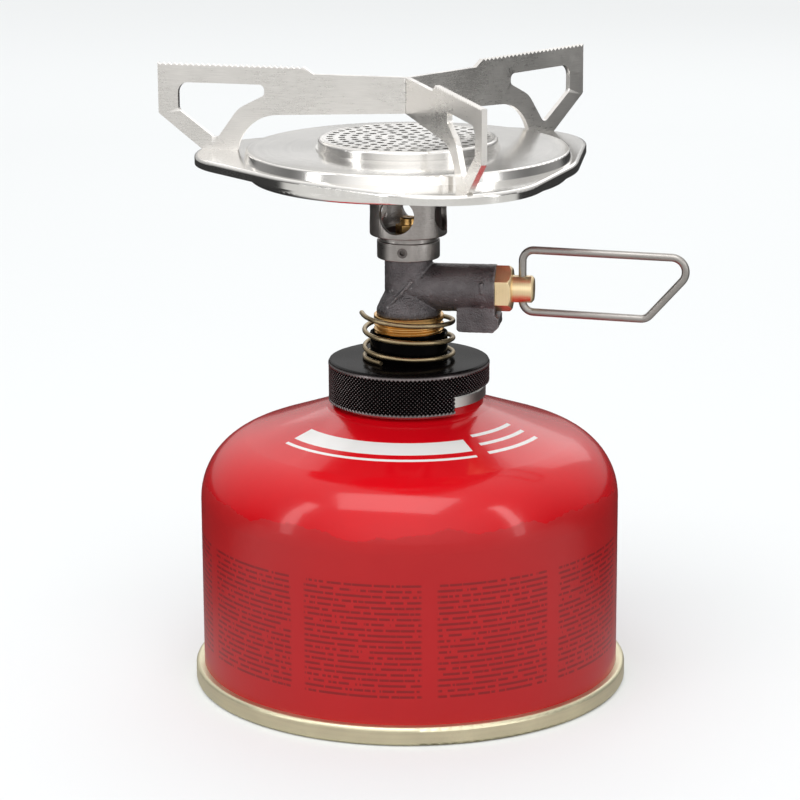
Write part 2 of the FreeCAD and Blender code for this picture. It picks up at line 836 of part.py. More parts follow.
def wireHandle():
    # One loop of wire whose ends meet inside the spindle's cross hole.
    body = newBody("wire_handle")
    route = newSketch(body, "handleRoute")
    drawOutline(route, [
        ("0", "handleGap / 2"),
        ("0", "handleTop", "handleBend"),
        ("handleLength", "handleTop - handleSag", "handleNoseBend"),
        ("handleTail", "-handleDrop - handleSag", "handleBend"),
        ("0", "-handleDrop", "handleBend"),
        ("0", "-handleGap / 2"),
    ], closed=False)
    section = newSketch(body, "handleSection", "XY_Plane")
    raiseSketch(section, "handleGap / 2")
    drawCircle(section, "0", "0", "handleWire / 2")
    loop = body.newObject("PartDesign::AdditivePipe", "handleLoop")
    loop.Profile = (section, [""])
    loop.Spine = (route, [""])
    turnAbout(body, "handleAzimuth")
    bind(body, "Placement.Base.x", "handleReach * cos(barrelAzimuth * 1 deg)")
    bind(body, "Placement.Base.y", "handleReach * sin(barrelAzimuth * 1 deg)")
    bind(body, "Placement.Base.z", "barrelHeight")
    return body


# ---- jet and intake sleeve -----------------------------------------------------------

def jet():
    body = newBody("jet")
    sketch = newSketch(body, "jetHexOutline", "XY_Plane")
    raiseSketch(sketch, "bodyTop")
    drawHexagon(sketch, "jetFlats")
    pad(body, sketch, "jetHex", "jetHexTop - bodyTop")
    revolve(body, "jetNose", [
        ("0", "jetHexTop - sink"),
        ("jetNose", "jetHexTop - sink"),
        ("jetNose", "jetTop", "jetRound"),
        ("0", "jetTop"),
    ])
    revolve(body, "jetStem", [
        ("0", "bodyTop - jetStemLength"),
        ("jetStem", "bodyTop - jetStemLength"),
        ("jetStem", "bodyTop + sink"),
        ("0", "bodyTop + sink"),
    ])
    revolve(body, "jetOrifice", [
        ("0", "bodyTop - jetStemLength - overCut"),
        ("jetOrifice", "bodyTop - jetStemLength - overCut"),
        ("jetOrifice", "jetTop + overCut"),
        ("0", "jetTop + overCut"),
    ], kind="PartDesign::Groove")
    return body


def intakeSleeve():
    # Clamp ring on the valve body, a groove, and a chamber with four air holes.
    body = turnedBody("intake_sleeve", [
        ("bodyRadius", "sleeveBottom"),
        ("sleeveClampRadius", "sleeveBottom", "sleeveRound"),
        ("sleeveClampRadius", "sleeveClampTop", "sleeveClampRound"),
        ("sleeveNeckRadius", "sleeveClampTop"),
        ("sleeveNeckRadius", "sleeveShoulder"),
        ("sleeveRadius", "sleeveShoulder", "sleeveRound"),
        ("sleeveRadius", "bowlBottom"),
        ("sleeveInner", "bowlBottom"),
        ("sleeveInner", "sleeveFloor"),
        ("bodyRadius", "sleeveFloor"),
    ])
    face = newSketch(body, "sleeveAxisMark", "XY_Plane")
    drawCircle(face, "0", "0", "sleeveRadius")
    sketch = newSketch(body, "airHoleOutline")
    turnSketch(sketch, "airHoleAzimuth + 90")
    drawCircle(sketch, "0", "airHoleHeight", "airHoleRadius")
    holes = pocket(body, sketch, "airHole", "3 * sleeveRadius", midplane=True)
    polar(body, holes, face, "airHoles", 2, number("airHoleSpacing"))
    hidden = newSketch(body, "grubHoleOutline")
    turnSketch(hidden, "grubAzimuth + 90")
    drawCircle(hidden, "0", "grubHeight", "grubRadius")
    pocket(body, hidden, "grubHole", "3 * sleeveRadius", backwards=True)
    return body


def grubScrew():
    body = newBody("grub_screw")
    length = "sleeveClampRadius - bodyRadius - grubInset"
    blank = newSketch(body, "grubOutline", "XY_Plane")
    drawCircle(blank, "0", "0", "grubRadius")
    pad(body, blank, "grubBlank", length)
    socket = newSketch(body, "grubSocketOutline", "XY_Plane")
    raiseSketch(socket, length)
    drawHexagon(socket, "grubSocket")
    pocket(body, socket, "grubSocketHole", "grubSocketDepth")
    body.Placement = Placement(Vector(), Rotation(number("grubAzimuth"), 90, 0))
    bind(body, "Placement.Base.x", "bodyRadius * cos(grubAzimuth * 1 deg)")
    bind(body, "Placement.Base.y", "bodyRadius * sin(grubAzimuth * 1 deg)")
    bind(body, "Placement.Base.z", "grubHeight")
    return body


def burnerTube():
    floorTop = "bowlBottom + bowlSheet"
    return turnedBody("burner_tube", [
        ("tubeInner", "tubeBottom"),
        ("sleeveInner", "tubeBottom"),
        ("sleeveInner", floorTop),
        ("tubeFlange", floorTop),
        ("tubeFlange", "%s + tubeFlangeThick" % floorTop),
        ("tubeInner", "%s + tubeFlangeThick" % floorTop),
    ])


# ---- burner head and drip pan --------------------------------------------------------

def burnerBowl():
    inside = "bowlRadius - bowlSheet"
    top = "panTop - panSheet"
    return turnedBody("burner_bowl", [
        ("sleeveInner", "bowlBottom"),
        ("bowlRadius", "bowlBottom", "bowlRound"),
        ("bowlRadius", top),
        (inside, top),
        (inside, "bowlBottom + bowlSheet"),
        ("sleeveInner", "bowlBottom + bowlSheet"),
    ])


def flameSpreader():
    # Disc on three legs over the mixing tube.
    floorTop = "bowlBottom + bowlSheet"
    legs = []
    for turn in range(3):
        angle = "(leftArm + (%d + 0.5) * armSpacing) * 1 deg" % turn
        legs.append(cylinder("spreaderLeg%d" % (turn + 1), "spreaderLegRadius",
                             "spreaderStand + spreaderThick / 2",
                             x="spreaderLegCircle * cos(%s)" % angle,
                             y="spreaderLegCircle * sin(%s)" % angle, z=floorTop))
    disc = cylinder("spreaderDisc", "spreaderRadius", "spreaderThick", z="%s + spreaderStand" % floorTop)
    return fuse("flame_spreader", [disc] + legs)


def burnerCapRing():
    seat = "capTop - grilleRecess - grilleThick"
    return turnedBody("burner_cap_ring", [
        ("capBore", "capFoot"),
        ("capSpigot", "capFoot"),
        ("capSpigot", "plateauTop"),
        ("capRidge", "plateauTop"),
        ("capRidge", "plateauTop + capRidgeThick"),
        ("capRadius", "plateauTop + capRidgeThick"),
        ("capRadius", "capTop", "capRound"),
        ("grilleRadius", "capTop"),
        ("grilleRadius", seat),
        ("capBore", seat),
    ])


def flameGrille():
    # Disc perforated in rings, with about the same space between holes all over.
    body = newBody("flame_grille")
    face = newSketch(body, "grilleOutline", "XY_Plane")
    raiseSketch(face, "capTop - grilleRecess - grilleThick")
    drawCircle(face, "0", "0", "grilleRadius")
    pad(body, face, "grilleDisc", "grilleThick")
    ringCount = int(number("grilleOuterRing") / number("grillePitch"))
    for ring in range(ringCount + 1):
        radius = "grilleOuterRing - %d * grillePitch" % ring
        sketch = newSketch(body, "grilleRing%d" % (ring + 1), "XY_Plane")
        raiseSketch(sketch, "capTop - grilleRecess - grilleThick")
        drawCircle(sketch, radius, "0", "grilleHole")
        hole = pocket(body, sketch, "grilleHole%d" % (ring + 1), "grilleThick", backwards=True)
        count = round(2 * math.pi * number(radius) / number("grillePitch"))
        if count > 1:
            polar(body, hole, face, "grilleHoles%d" % (ring + 1), count)
    return body


def panOutline(sketch, inset):
    # A circle and three lobes joined by straight tangents, all stepped in by an inset.
    main = number("panRadius - %s" % inset)
    lobe = number("lobeRadius - %s" % inset)
    reach = number("lobeReach")
    lean = math.degrees(math.acos((main - lobe) / reach))
    pieces = []
    for arm in range(3):
        azimuth = number("leftArm") + arm * number("armSpacing")
        middle = Vector(reach, 0, 0)
        swing = Rotation(Vector(0, 0, 1), azimuth)
        centre = swing.multVec(middle)
        first = math.radians(azimuth - lean)
        last = math.radians(azimuth + lean)
        lobeCircle = Part.Circle(centre, Vector(0, 0, 1), lobe)
        lobeArc = sketch.addGeometry(Part.ArcOfCircle(lobeCircle, first, last), False)
        after = math.radians(azimuth + number("armSpacing") - lean)
        mainCircle = Part.Circle(Vector(), Vector(0, 0, 1), main)
        leaving = centre + Vector(math.cos(last), math.sin(last), 0) * lobe
        joining = Vector(math.cos(last), math.sin(last), 0) * main
        side = sketch.addGeometry(Part.LineSegment(leaving, joining), False)
        mainArc = sketch.addGeometry(Part.ArcOfCircle(mainCircle, last, after), False)
        ahead = swing.multVec(middle)
        ahead = Rotation(Vector(0, 0, 1), number("armSpacing")).multVec(ahead)
        start = Vector(math.cos(after), math.sin(after), 0)
        backSide = sketch.addGeometry(Part.LineSegment(start * main, ahead + start * lobe), False)
        pieces.append((lobeArc, side, mainArc, backSide))
    for arm, (lobeArc, side, mainArc, backSide) in enumerate(pieces):
        angle = "(leftArm + %d * armSpacing) * 1 deg" % arm
        pinPoint(sketch, lobeArc, 3, "lobeReach * cos(%s)" % angle, "lobeReach * sin(%s)" % angle)
        sketch.addConstraint(Sketcher.Constraint("Coincident", mainArc, 3, -1, 1))
        setRadius(sketch, lobeArc, "lobeRadius - %s" % inset)
        setRadius(sketch, mainArc, "panRadius - %s" % inset)
        nextLobe = pieces[(arm + 1) % 3][0]
        sketch.addConstraint(Sketcher.Constraint("Tangent", lobeArc, 2, side, 1))
        sketch.addConstraint(Sketcher.Constraint("Tangent", side, 2, mainArc, 1))
        sketch.addConstraint(Sketcher.Constraint("Tangent", mainArc, 2, backSide, 1))
        sketch.addConstraint(Sketcher.Constraint("Tangent", backSide, 2, nextLobe, 1))


def dripPan():
    # Lobed flange with a turned-down edge, and a raised plateau round the burner.
    body = newBody("drip_pan")
    rim = newSketch(body, "panRimOutline", "XY_Plane")
    raiseSketch(rim, "panTop - panLip")
    panOutline(rim, "0")
    blank = pad(body, rim, "panBlank", "panLip")
    doc.recompute()
    edgeRound = body.newObject("PartDesign::Fillet", "panEdgeRound")
    edgeRound.Base = (blank, topEdges(blank.Shape, number("panTop")))
    bind(edgeRound, "Radius", "panEdgeRound")
    inner = newSketch(body, "panHollowOutline", "XY_Plane")
    raiseSketch(inner, "panTop - panSheet")
    panOutline(inner, "panSheet")
    pocket(body, inner, "panHollow", "panLip")
    middle = newSketch(body, "panMiddleOutline", "XY_Plane")
    raiseSketch(middle, "panTop + overCut")
    drawCircle(middle, "0", "0", "plateauRadius - panSheet")
    pocket(body, middle, "panMiddle", "panLip")
    revolve(body, "plateau", [
        ("capSpigot", "plateauTop - panSheet"),
        ("plateauRadius - panSheet", "plateauTop - panSheet"),
        ("plateauFoot - panSheet", "panTop - panSheet"),
        ("plateauFoot", "panTop - panSheet"),
        ("plateauFoot", "panTop"),
        ("plateauRadius", "plateauTop", "plateauRound"),
        ("capSpigot", "plateauTop"),
    ])
    slot = newSketch(body, "tabSlotOutline", "XY_Plane")
    half = "armSheet / 2"
    drawOutline(slot, [
        ("tabInner", "-%s" % half),
        ("tabOuter", "-%s" % half),
        ("tabOuter", half),
        ("tabInner", half),
    ])
    slot.AttachmentOffset = Placement(Vector(), Rotation(Vector(0, 0, 1), number("leftArm")))
    bind(slot, "AttachmentOffset.Rotation.Angle", "leftArm * 1 deg")
    raiseSketch(slot, "panTop + overCut")
    slots = pocket(body, slot, "tabSlot", "panLip")
    polar(body, slots, rim, "tabSlots", 3)
    return body


sameHeight = 0.001


def topEdges(shape, height):
    # Names of the outer edges that lie flat at a height.
    names = []
    for index, edge in enumerate(shape.Edges, start=1):
        box = edge.BoundBox
        if abs(box.ZMin - height) < sameHeight and abs(box.ZMax - height) < sameHeight:
            names.append("Edge%d" % index)
    return names


# ---- pot supports --------------------------------------------------------------------

def armOutline(sketch, start):
    # Side of one arm: toothed top, foot with a tab, and a rounded arch over the burner.
    corners = [
        (start, "armCentreBottom"),
        ("armElbow", "armElbowHeight", "armElbowRound"),
        ("armFootInner", "panTop"),
        ("tabInner", "panTop"),
        ("tabInner", "panTop - tabDepth"),
        ("tabOuter", "panTop - tabDepth"),
        ("tabOuter", "panTop"),
        ("armFootOuter", "panTop"),
        ("armReach", "armShoulder", "armTipRound"),
        ("armReach", "armTop"),
    ]
    toothCount = int((number("armReach") - number("armStepOuter")) / number("toothPitch"))
    for tooth in range(toothCount):
        root = "armReach - (%d + 0.5) * toothPitch" % tooth
        crest = "armReach - (%d + 1) * toothPitch" % tooth
        corners.append((root, "armTop - toothDepth"))
        corners.append((crest, "armTop"))
    corners.append(("armStepInner", "armInnerTop"))
    corners.append((start, "armInnerTop"))
    drawOutline(sketch, corners)
    drawOutline(sketch, [
        ("windowOuter", "windowTop", "windowTopRound"),
        ("windowInner", "windowTop", "windowInnerRound"),
        ("windowInner", "windowNoseHeight", "windowNoseRound"),
        ("windowKnee", "windowKneeHeight", "windowKneeRound"),
        ("windowFoot", "windowFootHeight", "windowFootRound"),
        ("windowOuter", "windowSideHeight", "windowSideRound"),
    ])


def armBlank(label, azimuth, start, width):
    body = newBody(label)
    sketch = newSketch(body, label + "Outline")
    armOutline(sketch, start)
    pad(body, sketch, label + "Plate", width, midplane=True)
    turnAbout(body, azimuth)
    return body


def bentPotSupport():
    # One strip bent at the stove's axis, cut to the outline of an arm on each side.
    strip = newBody("bentStrip")
    plan = newSketch(strip, "bentStripPlan", "XY_Plane")
    half = "armSheet / 2"
    spread = "armSpacing / 2 * 1 deg"
    tip = "(armReach + stripReach)"
    side = "%s / sin(%s)" % (half, spread)
    drawOutline(plan, [
        ("%s * cos(%s) - %s * sin(%s)" % (tip, spread, half, spread),
         "%s * sin(%s) + %s * cos(%s)" % (tip, spread, half, spread)),
        ("-%s" % side, "0", "armBend + %s" % half),
        ("%s * cos(%s) - %s * sin(%s)" % (tip, spread, half, spread),
         "-%s * sin(%s) - %s * cos(%s)" % (tip, spread, half, spread)),
        ("%s * cos(%s) + %s * sin(%s)" % (tip, spread, half, spread),
         "-%s * sin(%s) + %s * cos(%s)" % (tip, spread, half, spread)),
        (side, "0", "armBend - %s" % half),
        ("%s * cos(%s) + %s * sin(%s)" % (tip, spread, half, spread),
         "%s * sin(%s) - %s * cos(%s)" % (tip, spread, half, spread)),
    ])
    raiseSketch(plan, "panTop - stripMargin")
    pad(strip, plan, "bentStripPad", "armTop - panTop + 2 * stripMargin")
    turnAbout(strip, "leftArm + armSpacing / 2")
    left = armBlank("leftArmBlank", "leftArm", "-armSheet", "6 * armSheet")
    front = armBlank("frontArmBlank", "leftArm + armSpacing", "-armSheet", "6 * armSheet")
    return common("bent_pot_support", strip, fuse("armBlanks", [left, front]))


def singlePotSupport():
    # Straight strip that butts against the outside of the bend.
    touch = "armSheet / 2 - armBend * (1 / cos((180 - armSpacing) / 2 * 1 deg) - 1)"
    return armBlank("single_pot_support", "leftArm + 2 * armSpacing", touch, "armSheet")


# ---- build, check and write ----------------------------------------------------------

pieces = [
    canShell(), canBase(), valveCup(), valveGasket(), valveHousing(), valvePoppet(), poppetSpring(),
    brassConnector(), connectorSeal(), actuatorPin(), fuelFilter(), lockingCollar(), collarSpring(),
    valveBody(), spindle(), spindleSeal(), glandNut(), wireHandle(), jet(), intakeSleeve(),
    grubScrew(), burnerTube(), burnerBowl(), flameSpreader(), burnerCapRing(), flameGrille(),
    dripPan(), bentPotSupport(), singlePotSupport(),
]
doc.recompute()

for thing in doc.Objects:
    if "Invalid" in thing.State or "Error" in thing.State:
        raise RuntimeError("%s failed: %s" % (thing.Label, thing.State))

os.makedirs("parts", exist_ok=True)
for piece in pieces:
    shape = piece.Shape
    if shape.isNull() or not shape.isValid():
        raise RuntimeError("%s has no valid shape" % piece.Label)
    shape.exportStep("parts/%s.step" % piece.Label)
    box = shape.BoundBox
    print("%-20s %9.1f mm3  z %.2f to %.2f, %d solid(s)"
          % (piece.Label, shape.Volume, box.ZMin, box.ZMax, len(shape.Solids)))
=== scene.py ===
import math

import bpy
from mathutils import Matrix, Vector


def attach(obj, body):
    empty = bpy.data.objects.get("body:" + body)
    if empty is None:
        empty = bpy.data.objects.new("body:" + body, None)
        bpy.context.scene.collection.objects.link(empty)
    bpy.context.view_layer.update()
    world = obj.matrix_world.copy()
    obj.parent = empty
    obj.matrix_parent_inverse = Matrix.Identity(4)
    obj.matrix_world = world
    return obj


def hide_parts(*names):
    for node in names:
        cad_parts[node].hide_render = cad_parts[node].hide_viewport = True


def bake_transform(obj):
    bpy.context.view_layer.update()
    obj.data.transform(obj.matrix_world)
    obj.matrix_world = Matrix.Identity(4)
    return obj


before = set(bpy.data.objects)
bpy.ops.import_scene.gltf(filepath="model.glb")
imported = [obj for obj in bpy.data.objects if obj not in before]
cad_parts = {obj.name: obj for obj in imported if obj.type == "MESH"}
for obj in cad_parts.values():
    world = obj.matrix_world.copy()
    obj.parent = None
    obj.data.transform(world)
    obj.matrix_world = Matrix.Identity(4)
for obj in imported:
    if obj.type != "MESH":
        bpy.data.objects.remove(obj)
print("frame loaded:", len(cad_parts), "nodes")

mm = 0.001
weldGap = 0.002 * mm
barrelAzimuth = math.radians(-8)
barrelHeight = 83.4 * mm


# ways of working

def startFresh():
    # object mode with nothing selected
    if bpy.context.object and bpy.context.object.mode != "OBJECT":
        bpy.ops.object.mode_set(mode="OBJECT")
    bpy.ops.object.select_all(action="DESELECT")


def pickOnly(piece):
    startFresh()
    piece.select_set(True)
    bpy.context.view_layer.objects.active = piece


def editing(piece, kind="VERT"):
    pickOnly(piece)
    bpy.ops.object.mode_set(mode="EDIT")
    bpy.ops.mesh.select_mode(type=kind)
    bpy.ops.mesh.select_all(action="DESELECT")


def choose(piece, kind, test):
    # selects the points, edges or faces that pass a test
    bpy.ops.object.mode_set(mode="OBJECT")
    mesh = piece.data
    parts = {"VERT": mesh.vertices, "EDGE": mesh.edges, "FACE": mesh.polygons}[kind]
    for group in (mesh.vertices, mesh.edges, mesh.polygons):
        group.foreach_set("select", [False] * len(group))
    for part in parts:
        part.select = test(part)
    bpy.ops.object.mode_set(mode="EDIT")
    bpy.ops.mesh.select_mode(type=kind)


def settle(piece):
    # place, turn and size go into the mesh, so the piece sits at the origin
    pickOnly(piece)
    bpy.ops.object.transform_apply(location=True, rotation=True, scale=True)


def cleanUp(piece):
    editing(piece)
    bpy.ops.mesh.select_all(action="SELECT")
    bpy.ops.mesh.remove_doubles(threshold=weldGap)
    bpy.ops.mesh.normals_make_consistent(inside=False)
    bpy.ops.object.mode_set(mode="OBJECT")


def smooth(piece, degrees=35):
    pickOnly(piece)
    bpy.ops.object.shade_smooth_by_angle(angle=math.radians(degrees))


def spinProfile(name, profile, steps, fromAzimuth=0.0):
    # a single point is drawn out along a profile of (radius, height) in mm, then spun round
    startFresh()
    ahead = Vector((math.cos(fromAzimuth), math.sin(fromAzimuth), 0))
    first = ahead * profile[0][0] * mm + Vector((0, 0, profile[0][1] * mm))
    bpy.ops.mesh.primitive_plane_add(size=0.1 * mm, location=first)
    piece = bpy.context.object
    piece.name = name
    piece.data.name = name
    bpy.ops.object.mode_set(mode="EDIT")
    bpy.ops.mesh.merge(type="CENTER")
    for before, after in zip(profile, profile[1:]):
        step = ahead * (after[0] - before[0]) * mm + Vector((0, 0, (after[1] - before[1]) * mm))
        bpy.ops.mesh.extrude_region_move(TRANSFORM_OT_translate={"value": step})
    bpy.ops.mesh.select_all(action="SELECT")
    bpy.ops.mesh.spin(steps=steps, angle=2 * math.pi, center=(0, 0, 0), axis=(0, 0, 1))
    cleanUp(piece)
    settle(piece)
    return piece


def mergedCopy(node, name):
    # a copy of a frame node as one joined skin
    startFresh()
    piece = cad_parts[node].copy()
    piece.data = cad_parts[node].data.copy()
    piece.name = name
    piece.data.name = name
    piece.parent = None
    bpy.context.collection.objects.link(piece)
    pickOnly(piece)
    bpy.ops.mesh.customdata_custom_splitnormals_clear()
    editing(piece)
    bpy.ops.mesh.select_all(action="SELECT")
    bpy.ops.mesh.remove_doubles(threshold=0.001 * mm)
    bpy.ops.mesh.mark_sharp(clear=True)
    bpy.ops.object.mode_set(mode="OBJECT")
    piece.data.materials.clear()
    return piece


def applyAll(piece):
    pickOnly(piece)
    for item in list(piece.modifiers):
        bpy.ops.object.modifier_apply(modifier=item.name)


def softenedCopy(node, name, edge):
    # merged copy with its sharp edges broken and its flat faces shaded flat
    piece = mergedCopy(node, name)
    bevel = piece.modifiers.new("brokenEdges", "BEVEL")
    bevel.width = edge * mm
    bevel.segments = 2
    bevel.limit_method = "ANGLE"
    bevel.angle_limit = math.radians(28)
    bevel.use_clamp_overlap = True
    bevel.miter_outer = "MITER_ARC"
    applyAll(piece)
    smooth(piece, 40)
    evened = piece.modifiers.new("evenedShading", "WEIGHTED_NORMAL")
    evened.keep_sharp = True
    applyAll(piece)
    return piece


def dress(piece, material, body=None, node=None):
    piece.data.materials.clear()
    piece.data.materials.append(material)
    if body:
        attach(piece, body)
    if node:
        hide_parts(node)


# camera

cameraSetup = {"lens": 134.66, "sensor": 36.0, "place": (0.0, -0.60126, 0.21422),
               "swing": 0.181, "tilt": 75.544, "roll": -0.302}


def placeCamera():
    view = bpy.data.cameras.new("mainCamera")
    view.lens = cameraSetup["lens"]
    view.sensor_width = cameraSetup["sensor"]
    view.clip_start = 0.01
    view.clip_end = 20
    holder = bpy.data.objects.new("mainCamera", view)
    bpy.context.collection.objects.link(holder)
    turn = (Matrix.Rotation(math.radians(cameraSetup["swing"]), 4, "Z")
            @ Matrix.Rotation(math.radians(cameraSetup["tilt"]), 4, "X")
            @ Matrix.Rotation(math.radians(cameraSetup["roll"]), 4, "Z"))
    holder.matrix_world = Matrix.Translation(cameraSetup["place"]) @ turn
    bpy.context.scene.camera = holder


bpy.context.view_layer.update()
placeCamera()
print("camera placed")


# shader building blocks

def joinUp(tree, source, target):
    tree.links.new(source, target)


def addNode(tree, kind, x, y, **settings):
    item = tree.nodes.new(kind)
    item.location = (x, y)
    for key, value in settings.items():
        setattr(item, key, value)
    return item


def sums(tree, operation, first, second=None, third=None, clamp=False, at=(0, 0)):
    # one maths node, fed with sockets or numbers
    item = addNode(tree, "ShaderNodeMath", at[0], at[1], operation=operation, use_clamp=clamp)
    for index, value in enumerate((first, second, third)):
        if value is None:
            continue
        if isinstance(value, (int, float)):
            item.inputs[index].default_value = value
        else:
            joinUp(tree, value, item.inputs[index])
    return item.outputs[0]


def spread(tree, value, low, high, toLow=0.0, toHigh=1.0, at=(0, 0)):
    item = addNode(tree, "ShaderNodeMapRange", at[0], at[1])
    item.inputs["From Min"].default_value = low
    item.inputs["From Max"].default_value = high
    item.inputs["To Min"].default_value = toLow
    item.inputs["To Max"].default_value = toHigh
    joinUp(tree, value, item.inputs["Value"])
    return item.outputs["Result"]


def mixColours(tree, share, first, second, at=(0, 0), way="MIX"):
    item = addNode(tree, "ShaderNodeMix", at[0], at[1], data_type="RGBA", blend_type=way)
    for socket, value in ((item.inputs[0], share), (item.inputs[6], first), (item.inputs[7], second)):
        if isinstance(value, (int, float)):
            socket.default_value = value
        elif isinstance(value, tuple):
            socket.default_value = (*value, 1)
        else:
            joinUp(tree, value, socket)
    return item.outputs[2]


def newGroup(name, inputs, outputs):
    tree = bpy.data.node_groups.new(name, "ShaderNodeTree")
    for label, kind, value in inputs:
        socket = tree.interface.new_socket(name=label, in_out="INPUT", socket_type=kind)
        if value is not None:
            socket.default_value = value
    for label, kind in outputs:
        tree.interface.new_socket(name=label, in_out="OUTPUT", socket_type=kind)
    start = addNode(tree, "NodeGroupInput", -900, 0)
    end = addNode(tree, "NodeGroupOutput", 700, 0)
    return tree, start, end


def placeGroup(tree, group, at=(0, 0), **values):
    item = addNode(tree, "ShaderNodeGroup", at[0], at[1], node_tree=group)
    for key, value in values.items():
        socket = item.inputs[key]
        if isinstance(value, bpy.types.NodeSocket):
            joinUp(tree, value, socket)
        else:
            socket.default_value = value
    return item


number = "NodeSocketFloat"
arrow = "NodeSocketVector"


def makeBlotches():
    # soft uneven patches and fine specks, both from 0 to 1
    tree, start, end = newGroup("blotches", [("Vector", arrow, None), ("Size", number, 0.01),
                                             ("Speck Size", number, 0.0008)],
                                [("Patches", number), ("Specks", number)])
    for row, (size, label, detail) in enumerate((("Size", "Patches", 4), ("Speck Size", "Specks", 2))):
        scaled = addNode(tree, "ShaderNodeVectorMath", -500, -250 * row, operation="DIVIDE")
        joinUp(tree, start.outputs["Vector"], scaled.inputs[0])
        joinUp(tree, start.outputs[size], scaled.inputs[1])
        noise = addNode(tree, "ShaderNodeTexNoise", -250, -250 * row)
        noise.inputs["Scale"].default_value = 1
        noise.inputs["Detail"].default_value = detail
        noise.inputs["Roughness"].default_value = 0.55
        joinUp(tree, scaled.outputs[0], noise.inputs["Vector"])
        joinUp(tree, spread(tree, noise.outputs["Fac"], 0.32, 0.68, at=(50, -250 * row)), end.inputs[label])
    return tree


def makeFineLines():
    # tool marks: bands that follow a distance, such as height on a turned piece
    tree, start, end = newGroup("fineLines", [("Distance", number, 0), ("Spacing", number, 0.0002),
                                              ("Waver", number, 0.0)],
                                [("Lines", number), ("Broad", number)])
    along = sums(tree, "DIVIDE", start.outputs["Distance"], start.outputs["Spacing"], at=(-650, 100))
    along = sums(tree, "ADD", along, start.outputs["Waver"], at=(-500, 100))
    fine = addNode(tree, "ShaderNodeTexNoise", -300, 150, noise_dimensions="1D")
    fine.inputs["Scale"].default_value = 1
    fine.inputs["Detail"].default_value = 3
    joinUp(tree, along, fine.inputs["W"])
    broad = addNode(tree, "ShaderNodeTexNoise", -300, -150, noise_dimensions="1D")
    broad.inputs["Scale"].default_value = 0.11
    broad.inputs["Detail"].default_value = 2
    joinUp(tree, along, broad.inputs["W"])
    joinUp(tree, spread(tree, fine.outputs["Fac"], 0.3, 0.7, at=(0, 150)), end.inputs["Lines"])
    joinUp(tree, spread(tree, broad.outputs["Fac"], 0.3, 0.7, at=(0, -150)), end.inputs["Broad"])
    return tree


def makeBrushing():
    # grain drawn out along one direction: the scale is small along it and large across it
    tree, start, end = newGroup("brushing", [("Vector", arrow, None), ("Stretch", arrow, (200, 8000, 8000))],
                                [("Grain", number)])
    drawn = addNode(tree, "ShaderNodeVectorMath", -500, 0, operation="MULTIPLY")
    joinUp(tree, start.outputs["Vector"], drawn.inputs[0])
    joinUp(tree, start.outputs["Stretch"], drawn.inputs[1])
    noise = addNode(tree, "ShaderNodeTexNoise", -250, 0)
    noise.inputs["Scale"].default_value = 1
    noise.inputs["Detail"].default_value = 3
    joinUp(tree, drawn.outputs[0], noise.inputs["Vector"])
    joinUp(tree, spread(tree, noise.outputs["Fac"], 0.3, 0.7, at=(50, 0)), end.inputs["Grain"])
    return tree


def makeEdgeWear():
    # rubbed corners, broken up by specks
    tree, start, end = newGroup("edgeWear", [("Vector", arrow, None), ("From", number, 0.52),
                                             ("To", number, 0.6), ("Break Up", number, 0.0006)],
                                [("Wear", number)])
    corners = addNode(tree, "ShaderNodeNewGeometry", -700, 200)
    size = addNode(tree, "ShaderNodeMapRange", -400, 200)
    joinUp(tree, corners.outputs["Pointiness"], size.inputs["Value"])
    joinUp(tree, start.outputs["From"], size.inputs["From Min"])
    joinUp(tree, start.outputs["To"], size.inputs["From Max"])
    scaled = addNode(tree, "ShaderNodeVectorMath", -600, -150, operation="DIVIDE")
    joinUp(tree, start.outputs["Vector"], scaled.inputs[0])
    joinUp(tree, start.outputs["Break Up"], scaled.inputs[1])
    noise = addNode(tree, "ShaderNodeTexNoise", -400, -150)
    noise.inputs["Scale"].default_value = 1
    joinUp(tree, scaled.outputs[0], noise.inputs["Vector"])
    broken = spread(tree, noise.outputs["Fac"], 0.35, 0.6, at=(-150, -150))
    joinUp(tree, sums(tree, "MULTIPLY", size.outputs["Result"], broken, clamp=True, at=(200, 0)),
           end.inputs["Wear"])
    return tree


blotches = makeBlotches()
fineLines = makeFineLines()
brushing = makeBrushing()
edgeWear = makeEdgeWear()
print("shader groups built")


def newFinish(name):
    material = bpy.data.materials.new(name)
    material.use_nodes = True
    tree = material.node_tree
    shader = tree.nodes["Principled BSDF"]
    shader.location = (600, 200)
    tree.nodes["Material Output"].location = (900, 200)
    place = addNode(tree, "ShaderNodeTexCoord", -1600, 0).outputs["Object"]
    return material, tree, shader, place


def setBump(tree, shader, height, distance):
    bump = addNode(tree, "ShaderNodeBump", 300, -250)
    bump.inputs["Distance"].default_value = distance
    bump.inputs["Strength"].default_value = 1.0
    joinUp(tree, height, bump.inputs["Height"])
    joinUp(tree, bump.outputs["Normal"], shader.inputs["Normal"])


def distanceAlong(tree, place, way):
    # height, distance from the stove's axis, or distance along the barrel
    if way == "radius":
        flat = addNode(tree, "ShaderNodeVectorMath", -1400, 250, operation="MULTIPLY")
        joinUp(tree, place, flat.inputs[0])
        flat.inputs[1].default_value = (1, 1, 0)
        length = addNode(tree, "ShaderNodeVectorMath", -1200, 250, operation="LENGTH")
        joinUp(tree, flat.outputs[0], length.inputs[0])
        return length.outputs["Value"]
    dot = addNode(tree, "ShaderNodeVectorMath", -1200, 250, operation="DOT_PRODUCT")
    joinUp(tree, place, dot.inputs[0])
    dot.inputs[1].default_value = ((0, 0, 1) if way == "height"
                                   else (math.cos(barrelAzimuth), math.sin(barrelAzimuth), 0))
    return dot.outputs["Value"]


